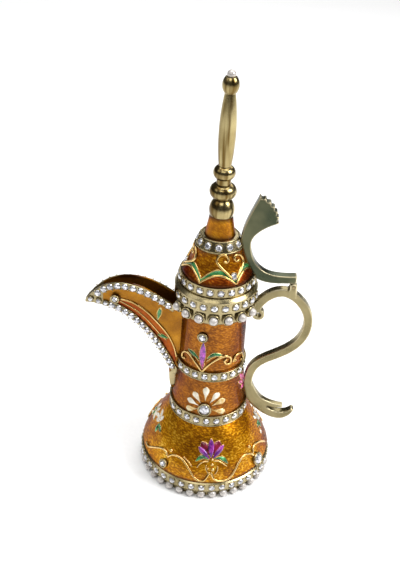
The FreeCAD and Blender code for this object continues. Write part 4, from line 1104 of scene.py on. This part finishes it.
spout_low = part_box("spout")[0]
spout_root = spout_low.z + KEEL_MARGIN
straps = Piece()
for row in ("spout_rim_crystals", "spout_keel_crystals"):
    seats = [seat_of(corners)[:2] for corners in solids_of(row)]
    for hand in (1, -1):
        flank = sorted((seat for seat in seats if seat[0].y * hand > 0), key=lambda seat: seat[0].x)
        points = [point for point, facing in flank]
        points.insert(0, points[0].lerp(points[1], -STRAP_LEAD))
        points.append(2 * points[-1] - points[-2])
        while row == "spout_keel_crystals" and points[-1].z > spout_root + KEEL_STEP:
            height = points[-1].z - KEEL_STEP
            start = Vector((2 * spout_low.x, KEEL_MARGIN * hand, height))
            keel_edge = met("spout", start, Vector((1, 0, 0)))[0]
            points.append(Vector((keel_edge.x + STRAP_HALF, points[-1].y, height)))
        outwards = Vector((0, hand, 0))
        landed = [dropped("spout", point, outwards) for point in smooth_line(points, LINE_STEPS)]
        strap(straps, [spot for spot in landed if spot])
straps.made("spout_straps", "pot", "cast_gold", cast_gold)

tip_seats = []
for pixel in TIP_STONES:
    point, facing = seen("spout", pixel)
    for place in BOTH_SIDES:
        outwards = place.to_3x3() @ facing
        seat = set_square(place @ point + outwards * STRAP_RISE, outwards)
        tip_seats.append((seat, *TIP_STONE.values()))
set_stones("tip", "pot", tip_seats)

panel_sections = []
for upper, lower in zip(smooth_line(STEM, LINE_STEPS), smooth_line(PANEL_FOOT, LINE_STEPS)):
    shares = [column / PANEL_COLUMNS for column in range(PANEL_COLUMNS + 1)]
    section = [seen("spout", upper.lerp(lower, share)) for share in shares]
    under = [point - facing * PETAL_ROOT for point, facing in (section[-1], section[0])]
    panel_sections.append([point + facing * PANEL_RISE for point, facing in section] + under)
spout = Ornament("spout", BOTH_SIDES)
spout.cell(rust_enamel, panel_sections)
spout.wires(0.42 * MM, STEM)
spout.wires(0.3 * MM, [(119.4, 300.2), (129, 305.4), (138.2, 311.3), (148, 320), (159.8, 333.2), (167, 340)])
spout.wires(0.26 * MM, [(158, 319.9), (160, 313), (161, 306.6)])
spout.petal(green_enamel, (157.6, 320.4), (160.8, 307), 1.8 * MM)
spout.petal(green_enamel, (169, 338.2), (157.6, 333.8), 1.9 * MM)
spout.made("spout", "pot")

# %% [markdown]
# ## Edge wires
# The waist, the mid and the upper lid band end in thin drawn wires that hide the edge of the enamel. These
# are plain rings, but with their own small outline they catch a line of light, as the real ones do.

# %% Edge wires
RING_STEPS = 96
EDGE_BAND = 0.05 * MM


def edge_wires(name, body, node_names, radius):
    piece = Piece()
    for node_name in node_names:
        low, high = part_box(node_name)
        corners = np.array([corner.co for corner in nodes[node_name].data.vertices])
        reach = np.hypot(corners[:, 0], corners[:, 1])
        for height in (low.z, high.z):
            edge = reach[np.abs(corners[:, 2] - height) < EDGE_BAND].max()
            outline = [(edge + radius * sin(angle), height - radius * cos(angle))
                       for angle in angles(WIRE_SIDES)]
            piece.turned(outline, Matrix.Identity(4), RING_STEPS, loop=True)
    piece.made(name, body, "cast_gold", cast_gold)


edge_wires("pot_edge_wires", "pot", ("waist_band", "mid_band"), 0.34 * MM)
edge_wires("lid_edge_wires", "lid", ("lid_upper_band",), 0.3 * MM)

# %% [markdown]
# ## Finishes on the frame's own nodes
# What the frame already shapes well keeps its mesh and only gets a finish. The collar, the handle and the
# lever also get rounded edges: no cast edge is knife sharp, and a rounded one draws the bright lines. A bevel
# serves the turned collar. On the curls of the other two it would fold over itself, so those are remeshed
# finely and smoothed.

# %% Finishes on nodes
NODE_FINISHES = {
    belly_enamel: ["belly_shell"], neck_enamel: ["neck_shell"], spout_enamel: ["spout"],
    dome_enamel: ["lid_dome"], taper_enamel: ["lid_taper"], bright_gold: ["finial"],
    handle_gold: ["handle"], lever_gold: ["thumb_lever"],
    cast_gold: ["foot_band", "waist_band", "mid_band", "collar", "lid_rim_band", "lid_upper_band"],
    inner_gold: ["hinge_pin", "base_plate", "lid_plug", "finial_stud"],
}
for material, node_names in NODE_FINISHES.items():
    for node_name in node_names:
        mesh = nodes[node_name].data
        mesh.materials.clear()
        mesh.materials.append(material)


def modify(node_name, kind, **settings):
    """A modifier on a node of the frame."""
    modifier = nodes[node_name].modifiers.new(kind.lower(), kind)
    for name, value in settings.items():
        setattr(modifier, name, value)


for node_name, grain in (("handle", 0.34 * MM), ("thumb_lever", 0.26 * MM)):
    modify(node_name, "REMESH", mode="VOXEL", voxel_size=grain, use_smooth_shade=True)
    modify(node_name, "SMOOTH", factor=0.5, iterations=9)
modify("collar", "WELD", merge_threshold=0.002 * MM)
modify("collar", "BEVEL", width=0.3 * MM, segments=3, limit_method="ANGLE", angle_limit=radians(40),
       harden_normals=True)
print("finishes on the frame:", len(NODE_FINISHES))
